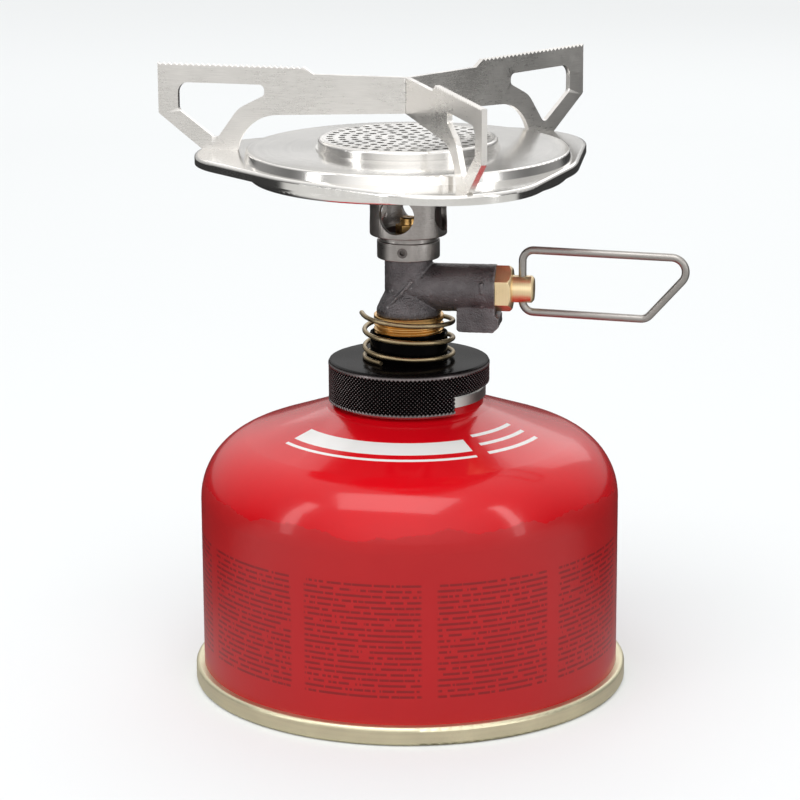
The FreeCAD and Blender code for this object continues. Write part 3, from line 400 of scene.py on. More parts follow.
def metalFinish(name, colour, shade, roughness, marks, spacing=0.0002, depth=0.000002, stretch=None,
                patch=0.012, wear=0.25, dull=0.1):
    # bare metal: two close tints, tool marks, handling patches and rubbed corners
    material, tree, shader, place = newFinish(name)
    shader.inputs["Metallic"].default_value = 1
    spots = placeGroup(tree, blotches, at=(-900, -150), Vector=place, Size=patch, **{"Speck Size": 0.0007})
    if marks == "brushed":
        grain = placeGroup(tree, brushing, at=(-900, 200), Vector=place, Stretch=stretch).outputs["Grain"]
    else:
        along = distanceAlong(tree, place, marks)
        waver = sums(tree, "MULTIPLY", spots.outputs["Patches"], 0.6, at=(-900, 400))
        grain = placeGroup(tree, fineLines, at=(-900, 200), Distance=along, Spacing=spacing,
                           Waver=waver).outputs["Lines"]
    corners = placeGroup(tree, edgeWear, at=(-900, -450), Vector=place, From=0.53, To=0.62)
    rubbed = sums(tree, "MULTIPLY", corners.outputs["Wear"], wear, at=(-250, -350))
    tint = sums(tree, "MULTIPLY_ADD", grain, 0.45, sums(tree, "MULTIPLY", spots.outputs["Patches"], 0.4),
                at=(-500, 100))
    base = mixColours(tree, tint, shade, colour, at=(-250, 200))
    brighter = tuple(min(1.0, value * 1.18 + 0.04) for value in colour)
    base = mixColours(tree, rubbed, base, brighter, at=(0, 200))
    joinUp(tree, base, shader.inputs["Base Color"])
    rough = sums(tree, "MULTIPLY_ADD", spots.outputs["Patches"], dull, roughness, at=(-500, -100))
    rough = sums(tree, "MULTIPLY_ADD", grain, dull * 0.6, rough, at=(-300, -100))
    rough = sums(tree, "MULTIPLY_ADD", spots.outputs["Specks"], dull * 0.25, rough, clamp=True,
                 at=(-100, -100))
    joinUp(tree, rough, shader.inputs["Roughness"])
    height = sums(tree, "MULTIPLY_ADD", spots.outputs["Specks"], 0.25, grain, at=(0, -300))
    setBump(tree, shader, height, depth)
    return material


# heights and radii in mm, stretches of azimuth in degrees
lacquer = {"upper": (0.70, 0.002, 0.008), "lower": (0.56, 0.014, 0.017), "patch": (0.42, 0.004, 0.008),
           "print": (0.17, 0.010, 0.012), "stripe": (0.86, 0.86, 0.85),
           "ridge": 43.0, "ridgeRise": 2.4, "ridgeScale": 52,
           "printPitch": 1.15, "printLow": 9, "printHigh": 33, "printStrength": 0.7, "dashesRound": 19.0,
           "columns": 10, "stripesFrom": 49,
           "broad": (23.0, 27.0), "thin": (28.4, 29.1), "front": (-150, -62),
           "finePitch": 3.0, "fine": (21.0, 29.7), "side": (-56, -24)}


def between(tree, value, low, high, soft, at=(0, 0)):
    # 1 between two limits, with soft edges
    rise = spread(tree, value, low - soft, low + soft, at=at)
    fall = spread(tree, value, high - soft, high + soft, 1.0, 0.0, at=(at[0], at[1] - 60))
    return sums(tree, "MULTIPLY", rise, fall, at=(at[0] + 180, at[1]))


def lacquerFinish():
    # glossy shoulder, satin printed wall below an uneven edge, plain stripes and fine broken rules
    material, tree, shader, place = newFinish("redLacquer")
    split = addNode(tree, "ShaderNodeSeparateXYZ", -1400, 0)
    joinUp(tree, place, split.inputs[0])
    east, north, height = split.outputs
    azimuth = sums(tree, "ARCTAN2", north, east, at=(-1200, 100))
    radius = distanceAlong(tree, place, "radius")
    skyline = addNode(tree, "ShaderNodeTexNoise", -1000, 500)
    skyline.inputs["Scale"].default_value = lacquer["ridgeScale"]
    skyline.inputs["Detail"].default_value = 6
    skyline.inputs["Roughness"].default_value = 0.62
    flat = addNode(tree, "ShaderNodeCombineXYZ", -1200, 500)
    joinUp(tree, east, flat.inputs[0])
    joinUp(tree, north, flat.inputs[1])
    joinUp(tree, flat.outputs[0], skyline.inputs["Vector"])
    edge = sums(tree, "MULTIPLY_ADD", skyline.outputs["Fac"], 4 * lacquer["ridgeRise"] * mm,
                (lacquer["ridge"] - 2 * lacquer["ridgeRise"]) * mm, at=(-800, 500))
    under = sums(tree, "SUBTRACT", edge, height, at=(-650, 500))
    below = spread(tree, under, -0.12 * mm, 0.12 * mm, at=(-500, 500))
    spots = placeGroup(tree, blotches, at=(-900, -400), Vector=place, Size=0.02, **{"Speck Size": 0.0005})

    rows = sums(tree, "DIVIDE", height, lacquer["printPitch"] * mm, at=(-1000, 0))
    rule = between(tree, sums(tree, "FRACT", rows, at=(-850, 0)), 0.22, 0.66, 0.08, at=(-700, 0))
    across = sums(tree, "MULTIPLY", azimuth, lacquer["dashesRound"], at=(-1000, -150))
    rowNumber = sums(tree, "FLOOR", rows, at=(-850, -80))
    pieceOf = addNode(tree, "ShaderNodeCombineXYZ", -700, -150)
    joinUp(tree, across, pieceOf.inputs[0])
    joinUp(tree, sums(tree, "MULTIPLY", rowNumber, 7.31, at=(-850, -200)), pieceOf.inputs[1])
    broken = addNode(tree, "ShaderNodeTexNoise", -500, -150)
    broken.inputs["Scale"].default_value = 2.1
    broken.inputs["Detail"].default_value = 1
    joinUp(tree, pieceOf.outputs[0], broken.inputs["Vector"])
    dashes = spread(tree, broken.outputs["Fac"], 0.40, 0.44, at=(-300, -150))
    column = sums(tree, "MULTIPLY_ADD", azimuth, lacquer["columns"] / (2 * math.pi), 20.35, at=(-1000, -300))
    column = sums(tree, "FRACT", column, at=(-850, -300))
    column = between(tree, column, 0.05, 0.93, 0.01, at=(-700, -300))
    panel = between(tree, height, lacquer["printLow"] * mm, lacquer["printHigh"] * mm, 0.1 * mm,
                    at=(-700, -450))
    ink = sums(tree, "MULTIPLY", sums(tree, "MULTIPLY", rule, dashes, at=(-300, 0)),
               sums(tree, "MULTIPLY", column, panel, at=(-300, -300)), at=(-150, -100))
    ink = sums(tree, "MULTIPLY", ink, lacquer["printStrength"], at=(0, -100))

    def ring(name, soft, at):
        inner, outer = lacquer[name]
        return between(tree, radius, inner * mm, outer * mm, soft * mm, at=at)

    def sector(name, at):
        first, last = lacquer[name]
        return between(tree, azimuth, math.radians(first), math.radians(last), 0.002, at=at)

    fine = sums(tree, "DIVIDE", radius, lacquer["finePitch"] * mm, at=(-900, 1150))
    fine = sums(tree, "FRACT", fine, at=(-750, 1150))
    fine = sums(tree, "MULTIPLY", between(tree, fine, 0.3, 0.58, 0.03, at=(-450, 1150)),
                ring("fine", 0.05, (-450, 1300)), at=(-200, 1150))
    fine = sums(tree, "MULTIPLY", fine, sector("side", (-700, 1300)), at=(-50, 1100))
    stripes = sums(tree, "MAXIMUM", ring("broad", 0.06, (-700, 900)), ring("thin", 0.06, (-700, 780)),
                   at=(-400, 850))
    stripes = sums(tree, "MULTIPLY", stripes, sector("front", (-700, 1020)), at=(-200, 850))
    stripes = sums(tree, "MAXIMUM", stripes, fine, at=(0, 850))
    onTop = spread(tree, height, lacquer["stripesFrom"] * mm, (lacquer["stripesFrom"] + 0.5) * mm,
                   at=(-200, 700))
    stripes = sums(tree, "MULTIPLY", stripes, onTop, at=(100, 850))

    red = mixColours(tree, below, lacquer["upper"], lacquer["lower"], at=(-200, 400))
    tone = sums(tree, "MULTIPLY", spots.outputs["Patches"], 0.25, at=(-500, -450))
    red = mixColours(tree, tone, red, lacquer["patch"], at=(0, 400))
    red = mixColours(tree, ink, red, lacquer["print"], at=(150, 300))
    red = mixColours(tree, stripes, red, lacquer["stripe"], at=(300, 300))
    joinUp(tree, red, shader.inputs["Base Color"])
    rough = sums(tree, "MULTIPLY_ADD", below, 0.14, 0.16, at=(0, 0))
    rough = sums(tree, "MULTIPLY_ADD", spots.outputs["Patches"], 0.05, rough, at=(150, 0))
    joinUp(tree, rough, shader.inputs["Roughness"])
    shine = sums(tree, "MULTIPLY_ADD", below, -0.1, 0.3, at=(150, -150))
    joinUp(tree, shine, shader.inputs["Coat Weight"])
    shader.inputs["Coat Roughness"].default_value = 0.06
    shader.inputs["Specular IOR Level"].default_value = 0.25
    ripple = sums(tree, "MULTIPLY_ADD", stripes, 0.5, spots.outputs["Specks"], at=(100, -350))
    setBump(tree, shader, ripple, 0.000004)
    return material


castTints = {"dark": (0.072, 0.064, 0.068), "pale": (0.17, 0.154, 0.162), "speck": (0.16, 0.15, 0.155),
             "rubbed": (0.42, 0.40, 0.41)}


def castingFinish():
    # blackened casting: matt pits, greyer where rubbed
    material, tree, shader, place = newFinish("blackCasting")
    spots = placeGroup(tree, blotches, at=(-900, 0), Vector=place, Size=0.0035, **{"Speck Size": 0.00032})
    rubbed = placeGroup(tree, edgeWear, at=(-900, -350), Vector=place, From=0.51, To=0.58).outputs["Wear"]
    base = mixColours(tree, spots.outputs["Patches"], castTints["dark"], castTints["pale"], at=(-500, 200))
    base = mixColours(tree, sums(tree, "MULTIPLY", spots.outputs["Specks"], 0.45, at=(-500, 0)), base,
                      castTints["speck"], at=(-300, 200))
    base = mixColours(tree, sums(tree, "MULTIPLY", rubbed, 0.8, at=(-500, -350)), base, castTints["rubbed"],
                      at=(-100, 200))
    joinUp(tree, base, shader.inputs["Base Color"])
    shader.inputs["Metallic"].default_value = 0.55
    rough = sums(tree, "MULTIPLY_ADD", spots.outputs["Patches"], 0.14, 0.24, at=(-300, -100))
    rough = sums(tree, "MULTIPLY_ADD", spots.outputs["Specks"], 0.1, rough, at=(-150, -100))
    joinUp(tree, rough, shader.inputs["Roughness"])
    setBump(tree, shader, spots.outputs["Specks"], 0.00007)
    return material


# the knurl lies outside one radius, and its points outside another, in mm
anodised = {"dark": (0.002, 0.0016, 0.0018), "pale": (0.005, 0.004, 0.0044), "rubbed": (0.34, 0.30, 0.30),
            "knurl": (16.0, 16.3), "points": (16.5, 16.69)}


def anodisedFinish():
    # black anodised metal, faintly paler on the knurl's points
    material, tree, shader, place = newFinish("blackAnodised")
    spots = placeGroup(tree, blotches, at=(-900, 0), Vector=place, Size=0.006, **{"Speck Size": 0.0004})
    along = distanceAlong(tree, place, "radius")
    rings = placeGroup(tree, fineLines, at=(-900, 300), Distance=along, Spacing=0.00018).outputs["Lines"]
    rubbed = placeGroup(tree, edgeWear, at=(-900, -350), Vector=place, From=0.54, To=0.66).outputs["Wear"]
    knurl = spread(tree, along, *(edge * mm for edge in anodised["knurl"]), at=(-900, 500))
    tips = spread(tree, along, *(edge * mm for edge in anodised["points"]), at=(-900, 650))
    base = mixColours(tree, spots.outputs["Patches"], anodised["dark"], anodised["pale"], at=(-500, 200))
    rubbed = sums(tree, "MULTIPLY", rubbed, knurl, at=(-700, -250))
    shine = sums(tree, "MAXIMUM", tips, rubbed, at=(-600, -350))
    base = mixColours(tree, sums(tree, "MULTIPLY", shine, 0.6, at=(-500, -350)), base, anodised["rubbed"],
                      at=(-200, 200))
    joinUp(tree, base, shader.inputs["Base Color"])
    joinUp(tree, sums(tree, "MULTIPLY", shine, 0.8, at=(-200, 50)), shader.inputs["Metallic"])
    shader.inputs["Specular IOR Level"].default_value = 0.02
    rough = sums(tree, "MULTIPLY_ADD", spots.outputs["Patches"], 0.06, 0.13, at=(-300, -100))
    rough = sums(tree, "MULTIPLY_ADD", rings, 0.04, rough, at=(-150, -100))
    rough = sums(tree, "MULTIPLY_ADD", knurl, 0.08, rough, at=(0, -100))
    joinUp(tree, rough, shader.inputs["Roughness"])
    setBump(tree, shader, rings, 0.0000015)
    return material


def mouldedFinish(name, colour, shade, roughness):
    # rubber and plastic pieces inside
    material, tree, shader, place = newFinish(name)
    spots = placeGroup(tree, blotches, at=(-900, 0), Vector=place, Size=0.003, **{"Speck Size": 0.0005})
    joinUp(tree, mixColours(tree, spots.outputs["Patches"], shade, colour, at=(-300, 200)),
           shader.inputs["Base Color"])
    joinUp(tree, sums(tree, "MULTIPLY_ADD", spots.outputs["Specks"], 0.12, roughness, at=(-300, -100)),
           shader.inputs["Roughness"])
    setBump(tree, shader, spots.outputs["Specks"], 0.000008)
    return material


redLacquer = lacquerFinish()
blackCasting = castingFinish()
blackAnodised = anodisedFinish()
blackRubber = mouldedFinish("blackRubber", (0.03, 0.03, 0.03), (0.015, 0.015, 0.015), 0.55)
whitePlastic = mouldedFinish("whitePlastic", (0.82, 0.82, 0.80), (0.74, 0.74, 0.72), 0.35)
creamTinplate = metalFinish("creamTinplate", (0.74, 0.69, 0.49), (0.60, 0.56, 0.40), 0.27, "height",
                            spacing=0.0005, depth=0.000003, patch=0.009, wear=0.5, dull=0.16)
pressedSteel = metalFinish("pressedSteel", (0.72, 0.71, 0.68), (0.55, 0.54, 0.52), 0.2, "radius",
                           spacing=0.0003, patch=0.006, dull=0.12)
springBrass = metalFinish("springBrass", (0.44, 0.35, 0.21), (0.24, 0.185, 0.11), 0.24, "height",
                          spacing=0.00025, patch=0.003, dull=0.14)
turnedBrass = metalFinish("turnedBrass", (0.82, 0.53, 0.21), (0.60, 0.34, 0.11), 0.2, "height",
                          spacing=0.00016, depth=0.0000035, patch=0.004, dull=0.12)
barrelBrass = metalFinish("barrelBrass", (0.97, 0.80, 0.52), (0.82, 0.63, 0.36), 0.24, "barrel",
                          spacing=0.00014, depth=0.0000035, patch=0.004, dull=0.12)
drawnWire = metalFinish("drawnWire", (0.40, 0.38, 0.36), (0.30, 0.285, 0.27), 0.28, "brushed",
                        stretch=(500, 6000, 6000), patch=0.006, dull=0.12)
turnedSteel = metalFinish("turnedSteel", (0.38, 0.355, 0.34), (0.27, 0.255, 0.245), 0.22, "height",
                          spacing=0.00016, depth=0.000004, patch=0.005, dull=0.14)
darkSteel = metalFinish("darkSteel", (0.19, 0.17, 0.16), (0.09, 0.08, 0.08), 0.32, "radius",
                        spacing=0.0002, patch=0.001)
polishedSteel = metalFinish("polishedSteel", (0.90, 0.885, 0.86), (0.80, 0.785, 0.76), 0.09, "radius",
                            spacing=0.00045, depth=0.0000012, patch=0.02, dull=0.05)
satinSteel = metalFinish("satinSteel", (0.84, 0.825, 0.80), (0.70, 0.685, 0.665), 0.15, "radius",
                         spacing=0.00025, depth=0.000002, patch=0.008, dull=0.1)
sheetSteel = metalFinish("sheetSteel", (0.86, 0.84, 0.81), (0.73, 0.71, 0.685), 0.2, "brushed",
                         stretch=(350, 350, 5200), depth=0.0000008, patch=0.02, dull=0.11, wear=0.0)
brightSteel = metalFinish("brightSteel", (0.66, 0.64, 0.62), (0.5, 0.485, 0.47), 0.2, "height", patch=0.006)
print("materials built")


# knurled collar with its hub and part skirt

collar = {"bore": 7.25, "radius": 16.7, "bottom": 63.6, "top": 68.3, "chamfer": 0.7, "hub": 8.0,
          "hubTop": 74.3, "hubRound": 0.5, "skirtBottom": 59.8, "skirtWall": 0.5, "skirtEdge": -55.8,
          "skirtSweep": 150.0, "steps": 240, "rows": 10, "skirtRows": 9, "knurlDepth": 0.38}


def quarterRound(centre, radius, fromAngle, count):
    # points on a quarter circle, angles in degrees
    points = []
    for step in range(count + 1):
        angle = math.radians(fromAngle - 90 * step / count)
        points.append((centre[0] + radius * math.cos(angle), centre[1] + radius * math.sin(angle)))
    return points


def makeCollar():
    size = collar
    sideTop = size["top"] - size["chamfer"]
    rowStep = (sideTop - size["bottom"]) / size["rows"]
    side = [(size["radius"], size["bottom"] + rowStep * row) for row in range(size["rows"] + 1)]
    rounded = quarterRound((size["hub"] - size["hubRound"], size["hubTop"] - size["hubRound"]),
                           size["hubRound"], 0, 4)
    hubFoot = [(size["hub"] + 0.25, size["top"]), (size["hub"], size["top"] + 0.25)]
    profile = ([(size["bore"], size["bottom"]), (size["radius"] - size["skirtWall"], size["bottom"])] + side
               + [(size["radius"] - size["chamfer"] * 0.35, size["top"] - size["chamfer"] * 0.3),
                  (size["radius"] - size["chamfer"], size["top"] - 0.04),
                  (size["radius"] - size["chamfer"] - 0.2, size["top"])]
               + hubFoot + rounded
               + [(size["bore"] + 0.15, size["hubTop"]), (size["bore"], size["hubTop"] - 0.15),
                  (size["bore"], size["bottom"])])
    start = math.radians(size["skirtEdge"] - size["skirtSweep"])
    piece = spinProfile("knurledCollar", profile, size["steps"], fromAzimuth=start)

    def underSkirt(face):
        centre = face.center
        turned = (math.atan2(centre.y, centre.x) - start) % (2 * math.pi)
        reach = math.hypot(centre.x, centre.y)
        return (abs(centre.z - size["bottom"] * mm) < 0.01 * mm and turned < math.radians(size["skirtSweep"])
                and reach > (size["radius"] - size["skirtWall"]) * mm)

    editing(piece, "FACE")
    choose(piece, "FACE", underSkirt)
    drop = (size["bottom"] - size["skirtBottom"]) / size["skirtRows"] * mm
    for row in range(size["skirtRows"]):
        bpy.ops.mesh.extrude_region_move(TRANSFORM_OT_translate={"value": (0, 0, -drop)})

    def valley(point):
        spot = point.co
        if math.hypot(spot.x, spot.y) < (size["radius"] - 0.01) * mm:
            return False
        if spot.z > (sideTop - 0.01) * mm or spot.z < (size["skirtBottom"] + 0.01) * mm:
            return False
        turned = (math.atan2(spot.y, spot.x) - start) % (2 * math.pi)
        columnNumber = round(turned / (2 * math.pi) * size["steps"])
        above = spot.z - size["bottom"] * mm
        rowNumber = round(above / (rowStep * mm)) if above > -0.01 * mm else round(above / drop)
        return (columnNumber + rowNumber) % 2 == 1

    choose(piece, "VERT", valley)
    shrink = 1 - size["knurlDepth"] / size["radius"]
    bpy.ops.transform.resize(value=(shrink, shrink, 1), center_override=(0, 0, 0))

    def onKnurl(face):
        reach = math.hypot(face.center.x, face.center.y)
        return reach > (size["radius"] - 0.4) * mm and face.center.z < sideTop * mm

    choose(piece, "FACE", onKnurl)
    bpy.ops.mesh.quads_convert_to_tris(quad_method="SHORTEST_DIAGONAL")
    bpy.ops.object.mode_set(mode="OBJECT")
    smooth(piece, 24)
    dress(piece, blackAnodised, "collar", "locking_collar")


# spring between the collar and the valve body

coil = {"radius": 9.2, "wire": 1.0, "top": 77.89, "front": 69.9, "turns": 2.25, "foot": 68.8,
        "footTurns": 0.894, "footSteepness": 1.6, "tail": 0.5, "tailPoints": 4, "pointsPerTurn": 28,
        "sides": 20}


def wireAlong(name, points, thickness, sides):
    # round wire along a smooth line, with closed ends
    line = bpy.data.curves.new(name, "CURVE")
    line.dimensions = "3D"
    spline = line.splines.new("NURBS")
    spline.points.add(len(points) - 1)
    for point, place in zip(spline.points, points):
        point.co = (*place, 1)
    spline.order_u = 4
    spline.use_endpoint_u = True
    spline.resolution_u = 3
    line.bevel_depth = thickness / 2 * mm
    line.bevel_resolution = sides // 4
    line.use_fill_caps = True
    holder = bpy.data.objects.new(name, line)
    bpy.context.collection.objects.link(holder)
    pickOnly(holder)
    bpy.ops.object.convert(target="MESH")
    piece = bpy.context.object
    cleanUp(piece)
    smooth(piece, 40)
    return piece


def makeSpring():
    size = coil
    points = []
    whole = size["turns"] + size["footTurns"]
    count = int(whole * size["pointsPerTurn"])
    for step in range(count + 1):
        turned = whole * step / count
        azimuth = math.radians(180 + 360 * turned)
        if turned < size["turns"]:
            height = size["top"] - (size["top"] - size["front"]) * turned / size["turns"]
        else:
            share = (turned - size["turns"]) / size["footTurns"]
            height = size["front"] - (size["front"] - size["foot"]) * min(1, share * size["footSteepness"])
        nearEnd = max(0.0, 1 - turned * size["pointsPerTurn"] / size["tailPoints"])
        radius = size["radius"] + size["tail"] * nearEnd
        points.append((radius * mm * math.cos(azimuth), radius * mm * math.sin(azimuth), height * mm))
    piece = wireAlong("collarSpring", points, size["wire"], size["sides"])
    dress(piece, springBrass, node="collar_spring")
    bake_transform(piece)


# threaded brass connector

connector = {"outer": 7.2, "bottom": 61.5, "chamfer": 0.8, "threadTop": 77.0, "pitch": 1.0, "depth": 0.5,
             "top": 77.65, "spigot": 4.0, "spigotTop": 79.45, "gasWay": 2.4, "boreTop": 70.2, "bore": 5.55,
             "steps": 96}


def makeConnector():
    size = connector
    profile = [(size["bore"], size["bottom"]), (size["outer"] - size["chamfer"], size["bottom"]),
               (size["outer"] - 0.1, size["bottom"] + size["chamfer"] - 0.1)]
    height = size["bottom"] + size["chamfer"] + 0.3
    root = size["outer"] - size["depth"]
    while height + size["pitch"] <= size["threadTop"]:
        profile += [(size["outer"], height), (size["outer"], height + 0.14), (root, height + 0.45),
                    (root, height + 0.6)]
        height += size["pitch"]
    profile += [(size["outer"] - 0.05, height), (size["outer"], height + 0.1),
                (size["outer"], size["top"] - 0.1), (size["outer"] - 0.1, size["top"]),
                (size["spigot"], size["top"]), (size["spigot"], size["spigotTop"]),
                (size["gasWay"], size["spigotTop"]), (size["gasWay"], size["boreTop"]),
                (size["bore"], size["boreTop"]), (size["bore"], size["bottom"])]
    piece = spinProfile("threadedConnector", profile, size["steps"])
    smooth(piece, 30)
    dress(piece, turnedBrass, "stove", "brass_connector")


# cast valve body

casting = {"grid": 0.2, "easing": 2, "lump": 1.6, "lumpHeight": 0.12, "pit": 0.6, "pitHeight": 0.09,
           "mark": (0.9, 2.2, 0.9), "markAlong": 15.6, "markUp": 0.9, "markOut": 4.7, "markRound": 0.3,
           "ridgeReach": 6.05, "ridgeThick": 0.55, "ridgeLean": 48.0, "ridgeUp": 0.5, "ridgeInset": 0.2,
           "ridgeCut": 2.6}


def castMark():
    # a soft block on the front of the barrel: its length along it, height up it and how far it stands out
    startFresh()
    length, height, depth = casting["mark"]
    middle = (casting["markAlong"] * mm, -casting["markOut"] * mm, barrelHeight + casting["markUp"] * mm)
    bpy.ops.mesh.primitive_cube_add(size=1, location=middle, scale=(length * mm, depth * mm, height * mm))
    block = bpy.context.object
    block.name = "castMark"
    settle(block)
    editing(block, "EDGE")
    bpy.ops.mesh.select_all(action="SELECT")
    bpy.ops.mesh.bevel(offset=casting["markRound"] * mm, segments=3)
    bpy.ops.object.mode_set(mode="OBJECT")
    block.rotation_euler = (0, 0, barrelAzimuth)
    settle(block)
    return block


def mitreRidge():
    # thin leaning disc that stands out of the tube as the line where the two tubes meet
    startFresh()
    lean = math.radians(casting["ridgeLean"])
    bpy.ops.mesh.primitive_cylinder_add(vertices=96, radius=casting["ridgeReach"] * mm,
                                        depth=casting["ridgeThick"] * mm)
    ridge = bpy.context.object
    ridge.name = "mitreRidge"
    ridge.scale = (1 / math.cos(lean), 1, 1)
    settle(ridge)
    editing(ridge, "FACE")
    choose(ridge, "FACE", lambda face: abs(face.normal.z) > 0.9)
    bpy.ops.mesh.inset(thickness=casting["ridgeInset"] * mm)
    bpy.ops.object.mode_set(mode="OBJECT")
    editing(ridge, "VERT")
    choose(ridge, "VERT", lambda point: point.co.x > casting["ridgeCut"] * mm)
    bpy.ops.mesh.delete(type="VERT")
    bpy.ops.mesh.select_all(action="SELECT")
    bpy.ops.mesh.edge_face_add()
    bpy.ops.object.mode_set(mode="OBJECT")
    ridge.rotation_euler = (0, -lean, 0)
    settle(ridge)
    ridge.rotation_euler = (0, 0, barrelAzimuth)
    ridge.location = (0, 0, barrelHeight + casting["ridgeUp"] * mm)
    settle(ridge)
    return ridge


def roughen(piece, name, size, height):
    clouds = bpy.data.textures.new(name, "CLOUDS")
    clouds.noise_scale = size * mm
    clouds.noise_depth = 2
    lumps = piece.modifiers.new(name, "DISPLACE")
    lumps.texture = clouds
    lumps.strength = height * mm
    lumps.mid_level = 0.5


def makeCasting():
    piece = mergedCopy("valve_body", "castBody")
    raised = [castMark(), mitreRidge()]
    startFresh()
    for block in raised:
        block.select_set(True)
    piece.select_set(True)
    bpy.context.view_layer.objects.active = piece
    bpy.ops.object.join()
    skin = piece.modifiers.new("castSkin", "REMESH")
    skin.mode = "VOXEL"
    skin.voxel_size = casting["grid"] * mm
    easing = piece.modifiers.new("easing", "SMOOTH")
    easing.factor = 0.5
    easing.iterations = casting["easing"]
    roughen(piece, "castLumps", casting["lump"], casting["lumpHeight"])
    roughen(piece, "castPits", casting["pit"], casting["pitHeight"])
    applyAll(piece)
    pickOnly(piece)
    bpy.ops.object.shade_smooth()
    dress(piece, blackCasting, "stove", "valve_body")
    print("casting has", len(piece.data.polygons), "faces")


makeCollar()
print("collar made")
makeSpring()
print("spring made")
makeConnector()
print("connector made")
makeCasting()


# pieces that keep their frame shape and get broken edges

softened = {
    "gland_nut": ("glandNut", 0.16, barrelBrass, "stove", "brass"),
    "spindle": ("valveSpindle", 0.12, barrelBrass, "valve_stem", "brass"),
    "jet": ("gasJet", 0.12, turnedBrass, "stove", "brass"),
    "intake_sleeve": ("intakeSleeve", 0.3, turnedSteel, "stove", "turned_steel"),
    "bent_pot_support": ("bentSupport", 0.12, sheetSteel, "stove", "sheet_steel"),
    "single_pot_support": ("singleSupport", 0.12, sheetSteel, "stove", "sheet_steel"),
}

for node, (name, edge, material, body, slotName) in softened.items():
    dress(softenedCopy(node, name, edge), material, body, node)
print("softened pieces made:", len(softened))

carried = {"can_shell": redLacquer, "can_base": creamTinplate, "valve_cup": pressedSteel,
           "valve_gasket": blackRubber, "valve_housing": whitePlastic, "valve_poppet": whitePlastic,
           "poppet_spring": brightSteel, "connector_o_ring": blackRubber, "actuator_pin": brightSteel,
           "fuel_filter": turnedBrass, "spindle_o_ring": blackRubber, "wire_handle": drawnWire,
           "grub_screw": darkSteel, "burner_tube": brightSteel, "burner_bowl": polishedSteel,
           "flame_spreader": darkSteel, "drip_pan": polishedSteel, "burner_cap_ring": satinSteel,
           "flame_grille": satinSteel}

for node, material in carried.items():
    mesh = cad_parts[node].data
    for index in range(len(mesh.materials)):
        mesh.materials[index] = material
print("carried nodes dressed:", len(carried))


# floor, backdrop and lights

studio = {"floor": (0.62, 0.64, 0.65), "floorBounce": (0.30, 0.30, 0.30), "farBounce": (0.02, 0.02, 0.02),
          "frontBounce": (0.58, 0.58, 0.57), "bounceReach": (0.05, 0.12), "frontFrom": (0.03, -0.03),
          "floorSize": 8, "floorGlow": 0.19, "farGlow": 0.41, "nearReach": 0.7, "farReach": 2.3,
          "room": (0.93, 0.955, 0.965), "softLow": 0.38, "softHigh": 1.5, "softSides": 0.8,
          "shineLow": 0.05, "shineFront": 1.3, "shineTop": 1.1, "shineBack": 0.4}


def makeFloor():
    startFresh()
    bpy.ops.mesh.primitive_plane_add(size=studio["floorSize"], location=(0, 0, -0.02 * mm))
    floor = bpy.context.object
    floor.name = "studioFloor"
    material, tree, shader, place = newFinish("paleFloor")
    spots = placeGroup(tree, blotches, at=(-900, 0), Vector=place, Size=0.5, **{"Speck Size": 0.01})
    shade = tuple(value * 0.99 for value in studio["floor"])
    seen = mixColours(tree, spots.outputs["Patches"], studio["floor"], shade, at=(-500, 200))
    path = addNode(tree, "ShaderNodeLightPath", -700, 500).outputs["Is Camera Ray"]
    reach = distanceAlong(tree, place, "radius")
    far = spread(tree, reach, *studio["bounceReach"], at=(-700, -200))
    bounce = mixColours(tree, far, studio["floorBounce"], studio["farBounce"], at=(-500, 0))
    split = addNode(tree, "ShaderNodeSeparateXYZ", -1100, -350)
    joinUp(tree, place, split.inputs[0])
    inFront = spread(tree, split.outputs[1], *studio["frontFrom"], at=(-900, -350))
    bounce = mixColours(tree, inFront, bounce, studio["frontBounce"], at=(-400, -100))
    joinUp(tree, mixColours(tree, path, bounce, seen, at=(-300, 200)), shader.inputs["Base Color"])
    glow = spread(tree, reach, studio["nearReach"], studio["farReach"], studio["floorGlow"],
                  studio["farGlow"], at=(-900, 500))
    joinUp(tree, sums(tree, "MULTIPLY", glow, path, at=(-300, 400)), shader.inputs["Emission Color"])
    shader.inputs["Emission Strength"].default_value = 1
    shader.inputs["Roughness"].default_value = 0.9
    shader.inputs["Specular IOR Level"].default_value = 0.1
    floor.data.materials.append(material)


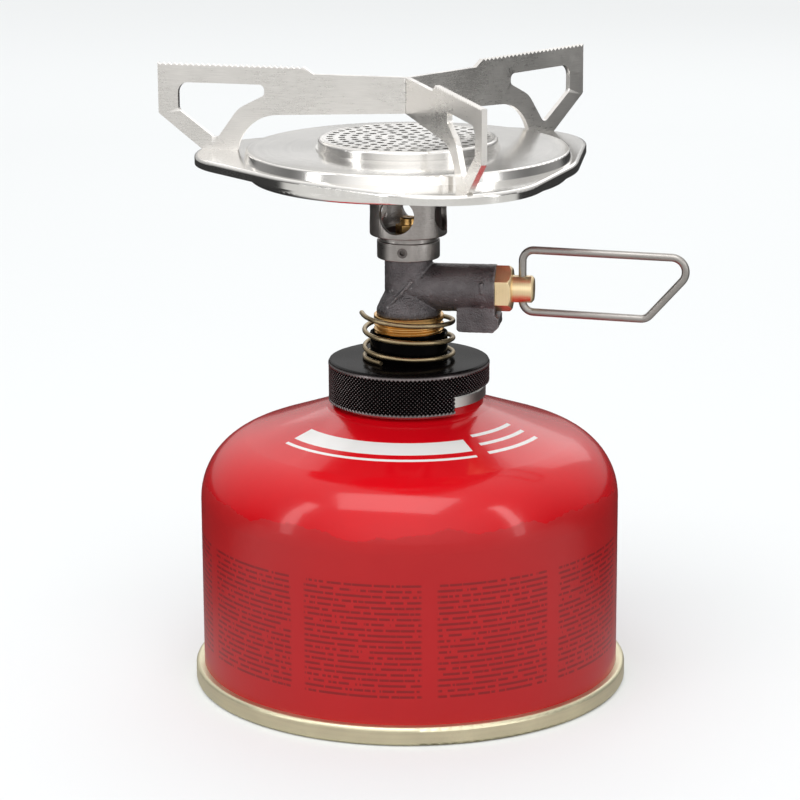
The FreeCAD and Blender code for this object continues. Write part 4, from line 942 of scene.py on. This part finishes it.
def makeRoom():
    world = bpy.data.worlds.new("studioRoom")
    bpy.context.scene.world = world
    world.use_nodes = True
    tree = world.node_tree
    tree.nodes.clear()
    direction = addNode(tree, "ShaderNodeTexCoord", -1100, 0)
    split = addNode(tree, "ShaderNodeSeparateXYZ", -900, 0)
    joinUp(tree, direction.outputs["Generated"], split.inputs[0])
    east, north, up = split.outputs
    sideways = sums(tree, "MULTIPLY", east, east, at=(-700, -200))
    soft = spread(tree, up, 0.0, 1.0, studio["softLow"], studio["softHigh"], at=(-600, 0))
    dimSides = spread(tree, sideways, 0.0, 1.0, 1.0, 1 - studio["softSides"], at=(-600, 150))
    soft = sums(tree, "MULTIPLY", soft, dimSides, at=(-400, 50))
    ahead = sums(tree, "MAXIMUM", sums(tree, "MULTIPLY", north, -1.0, at=(-850, -200)), 0.0, at=(-600, -200))
    sides = sums(tree, "MULTIPLY_ADD", sums(tree, "MULTIPLY", ahead, ahead, at=(-550, -200)),
                 studio["shineFront"], studio["shineLow"], at=(-500, -200))
    top = sums(tree, "MULTIPLY_ADD", sums(tree, "MAXIMUM", up, 0.0, at=(-700, -350)), studio["shineTop"],
               sides, at=(-350, -250))
    behind = sums(tree, "MAXIMUM", north, 0.0, at=(-700, -500))
    shine = sums(tree, "MULTIPLY_ADD", behind, studio["shineBack"], top, at=(-200, -300))
    path = addNode(tree, "ShaderNodeLightPath", -600, 500)
    level = addNode(tree, "ShaderNodeMix", 0, 0)
    joinUp(tree, path.outputs["Is Glossy Ray"], level.inputs[0])
    joinUp(tree, soft, level.inputs[2])
    joinUp(tree, shine, level.inputs[3])
    around = addNode(tree, "ShaderNodeBackground", 200, 0)
    around.inputs["Color"].default_value = (1.0, 0.995, 0.985, 1)
    joinUp(tree, level.outputs[0], around.inputs["Strength"])
    seen = addNode(tree, "ShaderNodeBackground", 200, 200)
    seen.inputs["Color"].default_value = (*studio["room"], 1)
    blend = addNode(tree, "ShaderNodeMixShader", 450, 100)
    joinUp(tree, path.outputs["Is Camera Ray"], blend.inputs[0])
    joinUp(tree, around.outputs[0], blend.inputs[1])
    joinUp(tree, seen.outputs[0], blend.inputs[2])
    output = addNode(tree, "ShaderNodeOutputWorld", 650, 100)
    joinUp(tree, blend.outputs[0], output.inputs[0])


lamps = {  # place, what it looks at, width, height, power, whether it also lights what is not shiny
    "overheadBox": ((-0.10, -0.35, 0.90), (0, 0, 0.05), 0.8, 0.5, 4.0, True),
    "leftStrip": ((-0.75, -0.30, 0.35), (0, 0, 0.06), 0.12, 0.8, 1.3, False),
    "rightStrip": ((0.70, -0.42, 0.35), (0, 0, 0.06), 0.10, 0.8, 1.3, False),
    "backBox": ((0.15, 0.85, 0.55), (0, 0, 0.08), 0.9, 0.5, 1.2, True),
}


def makeLamps():
    for name, (place, target, width, height, power, lightsAll) in lamps.items():
        lamp = bpy.data.lights.new(name, "AREA")
        lamp.shape = "RECTANGLE"
        lamp.size = width
        lamp.size_y = height
        lamp.energy = power
        holder = bpy.data.objects.new(name, lamp)
        bpy.context.collection.objects.link(holder)
        holder.location = place
        holder.visible_diffuse = lightsAll
        facing = Vector(target) - Vector(place)
        holder.rotation_euler = facing.to_track_quat("-Z", "Y").to_euler()


makeFloor()
makeRoom()
makeLamps()
bpy.context.scene.view_settings.view_transform = "Standard"
print("studio set")

startFresh()
